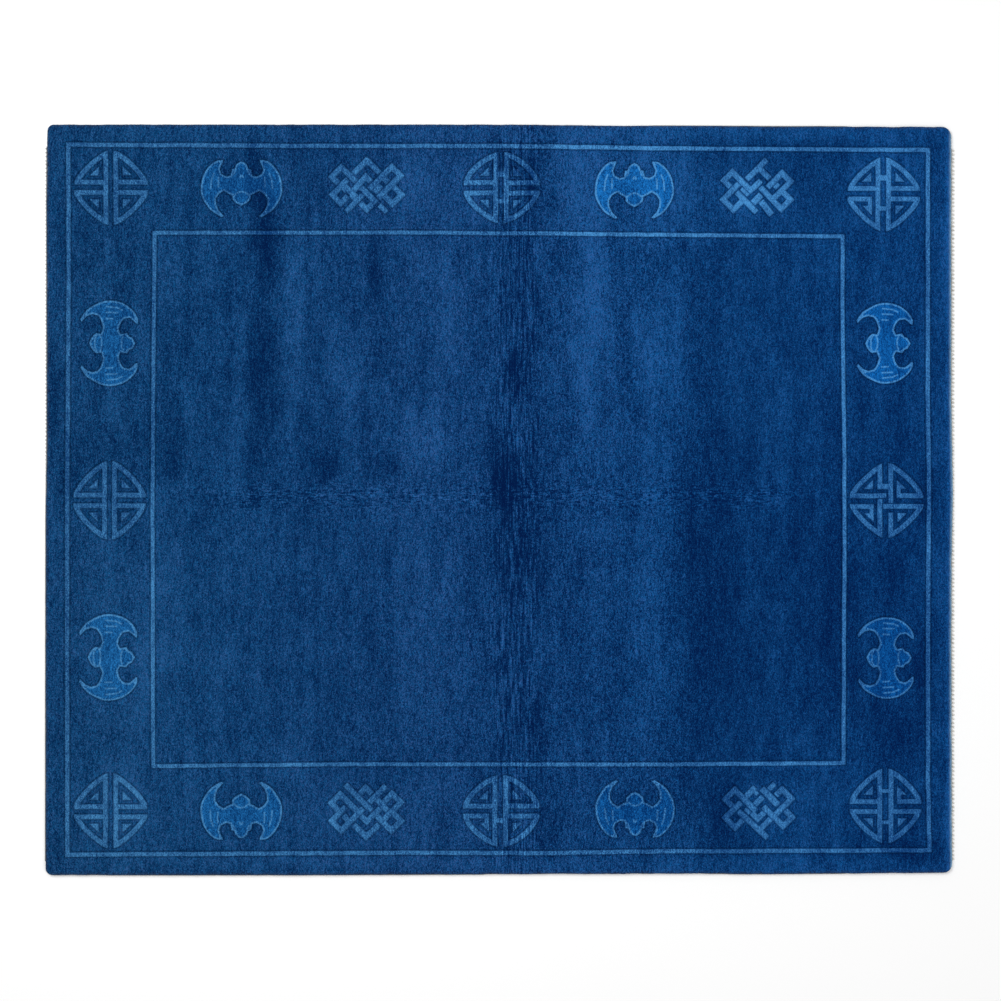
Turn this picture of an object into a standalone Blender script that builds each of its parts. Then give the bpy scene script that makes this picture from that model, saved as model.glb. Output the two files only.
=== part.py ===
"""A hand-knotted Chinese rug of the art deco years, lying flat on its back.

The pile is wool on a cotton foundation, one cloth and so one solid. Its field is navy, and everything
light on it is edged by a carved groove: two frame lines, eight roundels, eight fu bats and four endless
knots. A row of knotted cotton warp ends finishes each end. X runs along the warps, Y along the wefts, and
Z = 0 is the floor under the foundation. All sizes here are millimetres, and new_object turns them into
metres.
"""
from collections import defaultdict, namedtuple
from math import acos, asin, ceil, copysign, cos, pi, sin

import bmesh
import bpy
from mathutils import Vector
from mathutils.geometry import delaunay_2d_cdt

METRES = 0.001

# ---- Driving sizes -------------------------------------------------------------------------------

HALF_LENGTH = 1478.0  # half of the whole length, over the knotted ends
PILE_TOP = 14.0  # the clipped face of the pile above the floor
CLEARANCE = 0.3  # between the pile and a knotted end

GROOVE_WIDTH = 4.0
GROOVE_DEPTH = 3.0
OUTER_LINE_WIDTH = 14.0
INNER_LINE_WIDTH = 13.0

MERGE = 0.001  # points closer than this are one point
COLLINEAR = 0.004  # sine of the bend under which a point of a contour is left out
TIP_FLOOR = 0.5  # keeps the groove round a sharp tip close to the tip
WEDGE_FLOOR = 0.02  # and lets it run deep into a narrow wedge

# Four sides as tables of (place along the side, position across it), each in rising order.
Quad = namedtuple("Quad", "bottom right top left")

PILE_EDGE = Quad(
    bottom=((-1475, -1220.2), (-650, -1220), (-163, -1218), (650, -1215), (812, -1217), (1446, -1213)),
    right=((-1170, 1468.5), (-650, 1466.5), (-195, 1467), (25, 1471), (324, 1466), (1153, 1466.5)),
    top=((-1472, 1220.2), (0, 1220.2), (455, 1216.3), (845, 1214.4), (1397, 1212.4)),
    left=((-1196, -1477.6), (-650, -1477.3), (-65, -1476.6), (227, -1473), (974, -1474), (1202, -1472)),
)
PILE_CORNERS = (21.0, 26.0, 29.0, 20.0)  # radii: bottom left, bottom right, top right, top left

# The middle of each frame line. A knotted line wavers by a knot or two, and the rug was stretched a
# little out of square.
OUTER_LINE = Quad(
    bottom=((-1404, -1154), (-650, -1150), (-325, -1147), (162, -1148), (487, -1143), (1393, -1139)),
    right=((-1138, 1396.5), (-910, 1391), (-325, 1391.5), (32, 1394.5), (324, 1390.5), (1137, 1391)),
    top=((-1404, 1154.5), (-585, 1150), (0, 1150.5), (487, 1143), (812, 1140), (1391, 1137)),
    left=((-1138, -1406.5), (-488, -1407), (65, -1406.5), (389, -1403.5), (714, -1401.5), (1153, -1403)),
)
INNER_LINE = Quad(
    bottom=((-1125, -866), (-520, -859.5), (0, -861), (520, -860.5), (1113, -855)),
    right=((-855, 1116.5), (-160, 1119.5), (130, 1119.5), (550, 1113.5), (857, 1113.5)),
    top=((-1125, 868), (-260, 868.5), (160, 865.5), (680, 859.5), (1113, 856.5)),
    left=((-866, -1127), (-450, -1129), (0, -1129.5), (550, -1124.5), (867, -1122.5)),
)

# Two soft folds where the rug lay folded away: (place, half width, depth).
Fold = namedtuple("Fold", "place reach depth")
FOLD_ACROSS = Fold(place=32.0, reach=66.0, depth=1.8)  # a trough along Y, at this X
FOLD_ALONG = Fold(place=32.0, reach=60.0, depth=0.8)  # a fainter one along X, at this Y
FOLD_STATIONS = (-1.0, -0.5, 0.0, 0.5, 1.0)  # shares of the reach where the surface has points
STATION_SPACING = 10.0  # a side's own row nearer than this to a fold is left to the fold's points
FIELD_STEP = 160.0  # between the field's own points along a fold
FIELD_MARGIN = 15.0  # the field's own points keep this far from every light edge

# The pile's rim from the floor up: (inset from the edge, height, whether the left side is undercut there).
RimRing = namedtuple("RimRing", "inset height undercut")
RIM = (
    RimRing(0.0, 0.0, True),
    RimRing(0.0, 4.6, True),
    RimRing(0.0, 5.4, False),
    RimRing(0.0, 8.4, False),
    RimRing(1.6, 11.6, False),
    RimRing(5.0, 13.5, False),
    RimRing(12.0, PILE_TOP, False),
)
UNDERCUT = 8.0  # the nap leans to the left and hangs this far over the left end
CORNER_STEPS = 5

# ---- Motifs --------------------------------------------------------------------------------------

# Roundels: the size over all and the bulge of the rim (2 is an ellipse, 1 a straight slant); the sides of
# the upright gap and of the level notch, as distances from the middle; the ties over the gap, as (middle,
# height); the quarters whose triangle hangs on the level bar, as (sign of x, sign of y); and whether the
# bars pass over and under each other in the middle.
Roundel = namedtuple("Roundel", "x y width height bulge gap notch ties hooks is_interlaced")
ROUNDELS = (
    Roundel(-1263.8, 1014.2, 237, 240, 1.27, (-10, 8), (-8, 11), (), (), False),
    Roundel(5.4, 1015.5, 246, 229, 1.43, (-12, 8), (-11, 8), ((44, 17), (-45, 13)), (), False),
    Roundel(1247.8, 993.0, 234, 237, 1.27, (-12, 8), (-8, 12), ((54, 17), (-46, 13)), ((-1, -1),), False),
    Roundel(-1269.3, -2.1, 234, 253, 1.3, (-9, 9), (-10, 10), (), (), False),
    Roundel(1256.6, -2.1, 237, 240, 1.25, (-15, 6), (-12, 8), ((45, 16),), ((1, 1), (-1, -1)), True),
    Roundel(-1266.0, -1011.2, 237, 240, 1.27, (-9, 10), (-12, 6), (), (), False),
    Roundel(4.4, -1011.9, 247, 231, 1.45, (-14, 7), (-9, 9), ((-31, 16),), ((-1, -1),), False),
    Roundel(1253.4, -995.0, 231, 240, 1.3, (-12, 10), (-11, 7), ((49, 11), (-54, 11)), ((1, 1),), False),
)
QUARTERS = ((1, 1), (-1, 1), (-1, -1), (1, -1))  # counter-clockwise, as (sign of x, sign of y)
ROUNDEL_FLAT = (14.0, 20.0)  # from the middle, how far the rim runs level at its top and upright at its side
ROUNDEL_STEPS = 7
ROUNDEL_BAR = 14.5
ROUNDEL_BAND = 14.0  # the rim's own width
WINDOW_FLAT = (8.0, 14.0)  # less than the rim's, so that the band is as wide on its slant
WINDOW_STEPS = 4
ROUNDEL_TRIANGLE = 28.0  # legs of the triangle in each window
ROUNDEL_SETBACK = 15.5  # from the window's bars to the triangle
HOOK_SETBACK = 12.5  # from the upright bar to a level bar that turns into its triangle
HOOK_WIDTH = 12.0
UNDERPASS = 14.0  # the break in a bar on its way under another
SLIT = 4.5  # the narrow dark line along the other side of that bar
OVERHANG = 8.0  # how far the bar on top stops short of the next one
OVERLAP = 14.0  # between two shapes of one kind that make one, so that a spread edge leaves no seam

# Half of a bat, head up, from the tip of its tail by the underside of the wing to the top of the head; the
# outline turns sharply where it says so. The whole is BAT_SPAN wide and BAT_DEPTH high. A knot is higher
# than it is wide, so the bats that lie on their side came out with a longer tail and a thinner body.
Turn = namedtuple("Turn", "x y sharp")
BAT_SPAN = 266.0
BAT_DEPTH = 188.0
UPRIGHT_HALF = (
    Turn(0, -56, True),  # tip of the tail
    Turn(16, -48, False),
    Turn(29, -36, False),
    Turn(30, -22, True),  # where the tail leaves the body
    Turn(42, -17, False),
    Turn(58, -8, False),  # top of the hollow between tail and wing
    Turn(74, -18, False),
    Turn(84, -33, False),
    Turn(83, -53, False),
    Turn(75, -71, False),
    Turn(57, -90, True),  # lower tip of the wing
    Turn(65, -93, True),
    Turn(101, -71, False),
    Turn(128, -30, False),
    Turn(133, 4, False),
    Turn(122, 49, False),
    Turn(97, 81, False),
    Turn(76, 92, False),
    Turn(60, 93, True),  # upper tip of the wing
    Turn(61, 86, True),
    Turn(71, 62, False),
    Turn(66, 47, False),
    Turn(50, 39, False),  # floor of the hollow beside the head
    Turn(35, 42, True),
    Turn(32, 62, True),  # shoulder
    Turn(22, 65, True),
    Turn(18, 77, False),  # cheek
    Turn(0, 88, False),  # top of the head
)
SIDEWAYS_HALF = (
    Turn(0, -65, True),
    Turn(17, -57, False),
    Turn(32, -41, False),
    Turn(29, -26, True),
    Turn(48, -19, False),
    Turn(68, -25, False),
    Turn(86, -38, False),
    Turn(90, -55, False),
    Turn(84, -72, False),
    Turn(67, -89, True),
    Turn(75, -93, True),
    Turn(104, -72, False),
    Turn(127, -30, False),
    Turn(133, 4, False),
    Turn(125, 45, False),
    Turn(100, 79, False),
    Turn(76, 93, False),
    Turn(61, 93, True),
    Turn(62, 87, True),
    Turn(79, 66, False),
    Turn(76, 48, False),
    Turn(58, 35, False),
    Turn(42, 31, False),
    Turn(28, 38, True),
    Turn(32, 58, False),
    Turn(21, 65, True),
    Turn(17, 76, False),
    Turn(0, 86, False),
)
BAT_STEP = 21.0  # longest straight piece of a bat's curve

# Bats: size over the wings and from tail to head, and the quarter turns that set the head, 0 for up.
Bat = namedtuple("Bat", "x y span depth turns half")
BATS = (
    Bat(-840.0, 1011.9, 266, 188, 0, UPRIGHT_HALF),
    Bat(436.6, 1007.0, 257, 188, 0, UPRIGHT_HALF),
    Bat(-841.3, -1011.2, 266, 191, 2, UPRIGHT_HALF),
    Bat(438.6, -1004.7, 257, 188, 2, UPRIGHT_HALF),
    Bat(-1270.6, 508.5, 279, 188, 3, SIDEWAYS_HALF),
    Bat(-1273.5, -512.0, 282, 191, 3, SIDEWAYS_HALF),
    Bat(1250.4, 508.5, 263, 184, 3, SIDEWAYS_HALF),
    Bat(1253.7, -513.7, 266, 184, 3, SIDEWAYS_HALF),
)

# Endless knots, charted on a lattice that stands on its corner: each step of i goes up and right by half a
# cell, and each step of j down and right. A stroke ends where it dips under another. Each row is (width,
# its points).
KNOT_MIDDLE = 2.5
STROKE = 15.0
THIN = 9.0
TAIL = 13.0
WIDE = 17.5
KNOT_A = (
    (STROKE, ((2.45, 1.05), (3.95, 1.05), (3.95, 2.45))),
    (STROKE, ((2.1, 1.6), (2.1, 0), (1, 0), (1, 0.7))),
    (STROKE, ((1.7, 1.05), (0, 1.05), (0, 2), (0.75, 2))),
    (STROKE, ((0.85, 1.45), (1.2, 1.45), (1.2, 2.35), (0.9, 2.35))),
    (STROKE, ((1.5, 2.02), (2.95, 1.92), (2.95, 2.45))),
    (STROKE, ((2.45, 2.85), (5, 2.85), (5, 3.85), (2.45, 3.85))),
    (STROKE, ((3.9, 3.1), (3.9, 3.45))),
    (STROKE, ((3.3, 3.3), (2.55, 3.3))),
    (STROKE, ((3.95, 4.15), (3.95, 5), (2.9, 5), (2.9, 4.1))),
    (STROKE, ((2.05, 2.3), (2.05, 4))),
    (STROKE, ((1.15, 3.15), (1.15, 3.85), (1.75, 3.85))),
    (TAIL, ((1.7, 2.8), (-0.15, 2.8))),
    (TAIL, ((2.1, 4.35), (2.1, 5.1))),
)
KNOT_B = (
    (STROKE, ((2, 1.85), (2, 0), (1, 0), (1, 0.8))),
    (STROKE, ((1.6, 1.05), (0, 1.05), (0, 2.15), (2.45, 2.15))),
    (STROKE, ((1, 1.45), (1, 1.9))),
    (STROKE, ((2.85, -0.2), (2.85, 2.7))),
    (STROKE, ((3.2, 1.1), (3.85, 1.1), (3.85, 1.75))),
    (STROKE, ((5.05, 2.15), (3.2, 2.15))),
    (STROKE, ((4.1, 2.95), (5, 2.95), (5, 3.95), (3.15, 3.95))),
    (STROKE, ((3.8, 2.45), (3.8, 3.6))),
    (STROKE, ((3.95, 4.25), (3.95, 5), (2.85, 5), (2.85, 3.4))),
    (STROKE, ((3.5, 3.1), (1.95, 3.1), (1.95, 2.5))),
    (STROKE, ((1.05, 2.55), (1.05, 3.95), (2.45, 3.95))),
)
KNOT_C = (
    (STROKE, ((2.6, 1.25), (4.85, 1.25))),
    (STROKE, ((3.95, 1.25), (3.95, 2.5))),
    (STROKE, ((2.15, 2.3), (2.15, 0), (1.15, 0), (1.15, 0.7))),
    (STROKE, ((1.8, 1.05), (0, 1.05), (0, 2.25), (0.95, 2.25))),
    (STROKE, ((1.2, 1.45), (1.2, 3.7))),
    (THIN, ((1.7, 1.5), (1.7, 2.25))),
    (STROKE, ((3.3, 2.15), (2.35, 2.15))),
    (WIDE, ((2.45, 3), (1.55, 3))),
    (STROKE, ((2.9, 2.55), (2.85, 5), (3.95, 5), (3.95, 4.2))),
    (STROKE, ((3.35, 2.95), (5, 2.95), (5, 3.95), (3.1, 3.95))),
    (THIN, ((4.15, 3.4), (3.7, 3.4))),
    (WIDE, ((2.1, 3.4), (1.95, 4.75))),
)
KNOT_D = (
    (STROKE, ((2.2, 2.45), (2.2, 0), (1.1, 0), (1.1, 0.8))),
    (STROKE, ((1.8, 1.1), (0, 1.1), (0, 2.25), (0.85, 2.25))),
    (STROKE, ((1.15, 1.5), (1.3, 4.7))),
    (STROKE, ((1.3, 3.8), (2.55, 3.8))),
    (THIN, ((1.7, 1.75), (1.7, 2.25))),
    (STROKE, ((1.85, 2.4), (1.85, 3.05), (2.55, 3.05))),
    (STROKE, ((2.5, 1.05), (3.5, 1.05))),
    (THIN, ((3.25, 1.1), (3.25, 1.6))),
    (STROKE, ((3.4, 2.05), (2.55, 2.05))),
    (WIDE, ((3.85, 1.55), (3.85, 3.4))),
    (TAIL, ((4.85, 2), (4.25, 2))),
    (STROKE, ((4.3, 2.75), (5, 2.75), (5, 3.85), (3.2, 3.85))),
    (STROKE, ((2.9, 2.7), (2.9, 5), (3.95, 5), (3.95, 4.2))),
)
Knot = namedtuple("Knot", "x y cell strokes")
KNOTS = (
    Knot(-432.7, 1021.6, 57.0, KNOT_A),
    Knot(-434.7, -1013.8, 57.0, KNOT_B),
    Knot(835.1, 1005.7, 55.5, KNOT_C),
    Knot(840.6, -1003.1, 55.5, KNOT_D),
)

# ---- Knotted ends --------------------------------------------------------------------------------

END_PITCH = 13.0  # from knot to knot
RIGHT_END_SPAN = (-1175.0, 1143.5)
LEFT_END_SPAN = (-1175.0, 1150.0)
WEB_WIDTH = 4.0  # bare foundation between the pile and the knots
WEB_HEIGHT = 2.6
KNOT_HEIGHT = 5.0
PINCH_HEIGHT = 3.2  # between two knots
PINCH_DEPTH = 2.4  # how far the outer edge draws in between two knots
LEFT_END_HEIGHT = 4.2
LEFT_END_STEP = 300.0

# ---- Materials: colour, roughness ----------------------------------------------------------------

WOOL = ((0.005, 0.041, 0.144, 1.0), 0.9)
COTTON = ((0.55, 0.52, 0.45, 1.0), 0.85)


# ---- Plan geometry -------------------------------------------------------------------------------


def across(table, along):
    """The position across a side at one place along it, straight between the table's rows."""
    if along <= table[0][0]:
        return table[0][1]
    for (start, low), (end, high) in zip(table, table[1:]):
        if along <= end:
            return low + (high - low) * (along - start) / (end - start)
    return table[-1][1]


def stations(table, fold):
    """The places where a side has points between its corners: its inner rows, and where a fold bends it."""
    bends = [fold.place + share * fold.reach for share in FOLD_STATIONS]
    rows = [place for place, _ in table[1:-1] if abs(place - fold.place) > fold.reach + STATION_SPACING]
    return sorted(rows + bends)


def quad_loop(quad, radii=(0, 0, 0, 0)):
    """The counter-clockwise loop through four sides, with round corners where radii says so."""
    corners = (
        (quad.left[0][1], quad.bottom[0][1], 1, 1),
        (quad.right[0][1], quad.bottom[-1][1], -1, 1),
        (quad.right[-1][1], quad.top[-1][1], -1, -1),
        (quad.left[-1][1], quad.top[0][1], 1, -1),
    )
    arcs = []
    for number, ((x, y, inward_x, inward_y), radius) in enumerate(zip(corners, radii)):
        steps = CORNER_STEPS if radius else 0
        turn = [pi * (1 + number / 2) + (pi / 2) * (step / max(steps, 1)) for step in range(steps + 1)]
        middle = Vector((x + inward_x * radius, y + inward_y * radius))
        arcs.append([middle + radius * Vector((cos(angle), sin(angle))) for angle in turn])
    bottom = [Vector((x, across(quad.bottom, x))) for x in stations(quad.bottom, FOLD_ACROSS)]
    right = [Vector((across(quad.right, y), y)) for y in stations(quad.right, FOLD_ALONG)]
    top = [Vector((x, across(quad.top, x))) for x in stations(quad.top, FOLD_ACROSS)]
    left = [Vector((across(quad.left, y), y)) for y in stations(quad.left, FOLD_ALONG)]
    return arcs[0] + bottom + arcs[1] + right + arcs[2] + top[::-1] + arcs[3] + left[::-1]


def grown(quad, amount):
    """The same four sides, each moved outwards."""
    signs = Quad(bottom=-1, right=1, top=1, left=-1)
    sides = [[(along, place + sign * amount) for along, place in side] for side, sign in zip(quad, signs)]
    return Quad(*sides)


def area_of(loop):
    """The area inside a loop, negative if it runs clockwise."""
    return sum(here.x * after.y - here.y * after.x for here, after in zip(loop, loop[1:] + loop[:1])) / 2


def contours_of(layers, spread):
    """The edges of a motif's light pile, spread outwards, as loops with the light on their left.

    A layer is a counter-clockwise outline and whether it is light. A later layer covers an earlier one, and
    one that the spreading closes up is left out.
    """
    spread_layers = [(offset_loop(outline, spread if light else -spread), light) for outline, light in layers]
    layers = [layer for layer in spread_layers if area_of(layer[0]) > 0]
    points = []
    outlines = []
    for outline, _ in layers:
        outlines.append(list(range(len(points), len(points) + len(outline))))
        points += outline
    corners, _, faces, _, _, covers = delaunay_2d_cdt(points, [], outlines, 1, MERGE)
    edges = set()
    for face, cover in zip(faces, covers):
        if cover and layers[max(cover)][1]:
            for edge in zip(face, face[1:] + face[:1]):
                if edge[::-1] in edges:
                    edges.remove(edge[::-1])
                else:
                    edges.add(edge)
    onward = defaultdict(list)
    for start, end in sorted(edges):
        onward[start].append(end)
    loops = []
    for first in sorted(onward):
        while onward[first]:
            loop = [first]
            while onward[loop[-1]]:
                loop.append(onward[loop[-1]].pop())
            loops.append(without_straights([corners[index] for index in loop[:-1]]))
    return loops


def without_straights(loop):
    """The loop without the points at which it doesn't turn, unless a fold bends it there."""
    kept = []
    for before, here, after in zip(loop[-1:] + loop[:-1], loop, loop[1:] + loop[:1]):
        arriving = (here - before).normalized()
        leaving = (after - here).normalized()
        is_bent = abs(arriving.x * leaving.y - arriving.y * leaving.x) > COLLINEAR
        folds = zip(here, (FOLD_ACROSS, FOLD_ALONG))
        if is_bent or any(abs(at - fold.place) < fold.reach + 1 for at, fold in folds):
            kept.append(here)
    return kept


def offset_loop(loop, amount):
    """The loop moved to its right, with mitred corners."""
    moved = []
    for before, here, after in zip(loop[-1:] + loop[:-1], loop, loop[1:] + loop[:1]):
        arriving = (here - before).normalized()
        leaving = (after - here).normalized()
        sideways = Vector((arriving.y + leaving.y, -arriving.x - leaving.x))
        turn = arriving.x * leaving.y - arriving.y * leaving.x
        floor = TIP_FLOOR if turn * amount > 0 else WEDGE_FLOOR
        moved.append(here + amount * sideways / max(1 + arriving.dot(leaving), floor))
    return moved


def distance(place, loops):
    """From a place to the nearest edge of the loops."""
    nearest = float("inf")
    for loop in loops:
        for start, end in zip(loop, loop[1:] + loop[:1]):
            run = end - start
            share = (place - start).dot(run) / run.length_squared
            nearest = min(nearest, (start + run * min(max(share, 0), 1) - place).length)
    return nearest


def rectangle(left, bottom, right, top):
    return [Vector((left, bottom)), Vector((right, bottom)), Vector((right, top)), Vector((left, top))]


def shifted(outline, x, y):
    return [point + Vector((x, y)) for point in outline]


# ---- Roundels ------------------------------------------------------------------------------------


def slant(roundel, flat, inset, lowest, highest, steps):
    """The bulging slant of the upper right quarter, between its upright stretch and its level one."""
    reach = Vector((roundel.width / 2 - inset - flat[0], roundel.height / 2 - inset - flat[1]))
    arc = []
    for step in range(steps + 1):
        angle = lowest + (highest - lowest) * step / steps
        across_share = max(cos(angle), 0) ** (2 / roundel.bulge)
        up_share = max(sin(angle), 0) ** (2 / roundel.bulge)
        arc.append(Vector((flat[0] + reach.x * across_share, flat[1] + reach.y * up_share)))
    return arc


def window(roundel, left, bottom):
    """The dark window in the upper right quarter: a right angle at the bars and an arc under the rim band."""
    width = roundel.width / 2 - ROUNDEL_BAND - WINDOW_FLAT[0]
    height = roundel.height / 2 - ROUNDEL_BAND - WINDOW_FLAT[1]
    lowest = asin(((bottom - WINDOW_FLAT[1]) / height) ** (roundel.bulge / 2))
    highest = acos(((left - WINDOW_FLAT[0]) / width) ** (roundel.bulge / 2))
    return [Vector((left, bottom))] + slant(roundel, WINDOW_FLAT, ROUNDEL_BAND, lowest, highest, WINDOW_STEPS)


def mirrored(outline, sign_x, sign_y):
    """The outline in another quarter, still counter-clockwise."""
    flipped = [Vector((sign_x * point.x, sign_y * point.y)) for point in outline]
    return flipped if sign_x * sign_y > 0 else flipped[::-1]


def quarter_layers(roundel, sign_x, sign_y):
    """A quarter's window and the triangle in it, drawn for the upper right and then mirrored."""
    upright = (roundel.gap[1] if sign_x > 0 else -roundel.gap[0]) + ROUNDEL_BAR
    level = (roundel.notch[1] if sign_y > 0 else -roundel.notch[0]) + ROUNDEL_BAR
    is_hooked = (sign_x, sign_y) in roundel.hooks
    corner = Vector((upright + (HOOK_SETBACK if is_hooked else ROUNDEL_SETBACK), level + ROUNDEL_SETBACK))
    triangle = [corner, corner + Vector((ROUNDEL_TRIANGLE, 0)), corner + Vector((0, ROUNDEL_TRIANGLE))]
    layers = [(window(roundel, upright, level), False)]
    if is_hooked:
        notch = level - ROUNDEL_BAR - OVERLAP
        layers.append((rectangle(upright, notch, corner.x, level + OVERLAP), False))
        hook = rectangle(corner.x, level - OVERLAP / 2, corner.x + HOOK_WIDTH, corner.y + HOOK_WIDTH / 2)
        layers.append((hook, True))
    layers.append((triangle, True))
    return [(mirrored(outline, sign_x, sign_y), is_light) for outline, is_light in layers]


def interlaced_layers(roundel):
    """The crossings of the upper left and the lower right bars, each level bar over its upright one."""
    left, right = roundel.gap
    bottom, top = roundel.notch
    far_left = left - ROUNDEL_BAR
    far_right = right + ROUNDEL_BAR
    above = top + ROUNDEL_BAR
    below = bottom - ROUNDEL_BAR
    return [
        (rectangle(far_left - OVERLAP, above, left + OVERLAP, above + UNDERPASS), False),
        (rectangle(far_left - OVERLAP, top - SLIT, left + OVERLAP, top), False),
        (rectangle(far_left - OVERLAP, top, right - OVERHANG, above), True),
        (rectangle(right - OVERLAP, below - UNDERPASS, far_right + OVERLAP, below), False),
        (rectangle(right - OVERLAP, bottom, far_right + OVERLAP, bottom + SLIT), False),
        (rectangle(left + SLIT, below, far_right + OVERLAP, bottom), True),
    ]


def roundel_layers(roundel):
    reach = max(roundel.width, roundel.height)
    left, right = roundel.gap
    bottom, top = roundel.notch
    quarter = slant(roundel, ROUNDEL_FLAT, 0.0, 0.0, pi / 2, ROUNDEL_STEPS)
    rim = [point for signs in QUARTERS for point in mirrored(quarter, *signs)]
    layers = [(rim, True), (rectangle(left, -reach, right, reach), False)]
    layers.append((rectangle(right + ROUNDEL_BAR, bottom, reach, top), False))
    layers.append((rectangle(-reach, bottom, left - ROUNDEL_BAR, top), False))
    for signs in QUARTERS:
        layers += quarter_layers(roundel, *signs)
    if roundel.is_interlaced:
        layers += interlaced_layers(roundel)
    for middle, height in roundel.ties:
        ends = (left - ROUNDEL_BAR + 1, right + ROUNDEL_BAR - 1)
        layers.append((rectangle(ends[0], middle - height / 2, ends[1], middle + height / 2), True))
    return [(shifted(outline, roundel.x, roundel.y), is_light) for outline, is_light in layers]


# ---- Bats ----------------------------------------------------------------------------------------


def curve_point(before, start, end, after, share):
    """A point of the Catmull-Rom curve from start to end."""
    straight = 2 * start + share * (end - before)
    bend = share**2 * (2 * before - 5 * start + 4 * end - after)
    swing = share**3 * (3 * start - before - 3 * end + after)
    return (straight + bend + swing) / 2


def smoothed(half):
    """The right half of a bat, from the tail to the head, as short straight pieces."""
    places = [Vector((turn.x, turn.y)) for turn in half]
    beyond = places + [Vector((-places[-2].x, places[-2].y))]
    outline = []
    for index, (start, end) in enumerate(zip(places, places[1:])):
        before = start if half[index].sharp else places[index - 1]
        after = end if half[index + 1].sharp else beyond[index + 2]
        steps = ceil((end - start).length / BAT_STEP)
        outline += [curve_point(before, start, end, after, step / steps) for step in range(steps)]
    return outline + [places[-1]]


def bat_layers(bat):
    half = smoothed(bat.half)
    whole = half + [Vector((-point.x, point.y)) for point in reversed(half[1:-1])]
    outline = []
    for point in whole:
        spot = Vector((point.x * bat.span / BAT_SPAN, point.y * bat.depth / BAT_DEPTH))
        for _ in range(bat.turns):
            spot = Vector((-spot.y, spot.x))
        outline.append(spot)
    return [(shifted(outline, bat.x, bat.y), True)]


# ---- Endless knots -------------------------------------------------------------------------------


def lattice_point(knot, i, j):
    over = (i + j - 2 * KNOT_MIDDLE) * knot.cell / 2
    up = (i - j) * knot.cell / 2
    return Vector((knot.x + over, knot.y + up))


def stroke_outline(points, width):
    """The counter-clockwise outline of a stroke with flat ends and mitred corners."""
    right_side = []
    left_side = []
    for index, here in enumerate(points):
        arriving = (here - points[max(index - 1, 0)]).normalized()
        leaving = (points[min(index + 1, len(points) - 1)] - here).normalized()
        arriving = arriving if index else leaving
        leaving = leaving if index + 1 < len(points) else arriving
        sideways = Vector((arriving.y + leaving.y, -arriving.x - leaving.x)) / (1 + arriving.dot(leaving))
        right_side.append(here + sideways * width / 2)
        left_side.append(here - sideways * width / 2)
    return right_side + left_side[::-1]


def knot_layers(knot):
    layers = []
    for width, places in knot.strokes:
        points = [lattice_point(knot, i, j) for i, j in places]
        layers.append((stroke_outline(points, width), True))
    return layers


# ---- The pile ------------------------------------------------------------------------------------


def sag(x, y):
    """How far the face of the pile dips in the two folds."""
    dip = 0.0
    for place, fold in ((x, FOLD_ACROSS), (y, FOLD_ALONG)):
        share = min(abs(place - fold.place) / fold.reach, 1.0)
        dip += fold.depth * (1 + cos(pi * share)) / 2
    return dip


def line_layers(quad, width):
    return [(quad_loop(grown(quad, width / 2)), True), (quad_loop(grown(quad, -width / 2)), False)]


def groove_loops():
    """The lines of every groove, as (loop, depth): the light edge, the bottom of the V, the dark edge."""
    motifs = [line_layers(OUTER_LINE, OUTER_LINE_WIDTH), line_layers(INNER_LINE, INNER_LINE_WIDTH)]
    motifs += [roundel_layers(roundel) for roundel in ROUNDELS]
    motifs += [bat_layers(bat) for bat in BATS]
    motifs += [knot_layers(knot) for knot in KNOTS]
    loops = []
    for spread, depth in ((0.0, 0.0), (GROOVE_WIDTH / 2, GROOVE_DEPTH), (GROOVE_WIDTH, 0.0)):
        loops += [(loop, depth) for layers in motifs for loop in contours_of(layers, spread)]
    return loops


def field_points(loops):
    """Points along the folds where the field has no edge of its own."""
    spots = []
    steps = int(PILE_EDGE.top[0][1] // FIELD_STEP)
    for share in FOLD_STATIONS:
        for step in range(-steps, steps + 1):
            spots.append(Vector((FOLD_ACROSS.place + share * FOLD_ACROSS.reach, step * FIELD_STEP)))
    steps = int(HALF_LENGTH // FIELD_STEP)
    for share in FOLD_STATIONS:
        for step in range(-steps, steps + 1):
            spots.append(Vector((step * FIELD_STEP, FOLD_ALONG.place + share * FOLD_ALONG.reach)))
    return [spot for spot in spots if distance(spot, loops) > FIELD_MARGIN]


def pile_face(rim):
    """The clipped and carved face inside the rim: points, faces, and the rim's points among them."""
    places = list(rim)
    dips = [0.0] * len(rim)
    edges = [(index, (index + 1) % len(rim)) for index in range(len(rim))]
    grooves = groove_loops()
    for loop, depth in grooves:
        first = len(places)
        places += loop
        dips += [depth] * len(loop)
        edges += [(first + index, first + (index + 1) % len(loop)) for index in range(len(loop))]
    field = field_points([loop for loop, _ in grooves])
    places += field
    dips += [0.0] * len(field)

    corners, _, faces, sources, _, _ = delaunay_2d_cdt(places, edges, [], 1, MERGE)
    points = []
    output_of = {}
    for index, (corner, origin) in enumerate(zip(corners, sources)):
        dip = max([dips[source] for source in origin], default=GROOVE_DEPTH / 2)
        output_of.update({source: index for source in origin})
        points.append(Vector((corner.x, corner.y, PILE_TOP - sag(corner.x, corner.y) - dip)))
    return points, faces, [output_of[index] for index in range(len(rim))]


def rim_place(outline, index, ring):
    """One point of the outline, moved inwards to where a ring of the rim has it."""
    arriving = (outline[index] - outline[index - 1]).normalized()
    leaving = (outline[(index + 1) % len(outline)] - outline[index]).normalized()
    outward = Vector((arriving.y + leaving.y, -arriving.x - leaving.x)).normalized()
    inset = ring.inset + (UNDERCUT * max(-outward.x, 0.0) if ring.undercut else 0.0)
    return outline[index] - outward * inset


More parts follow.
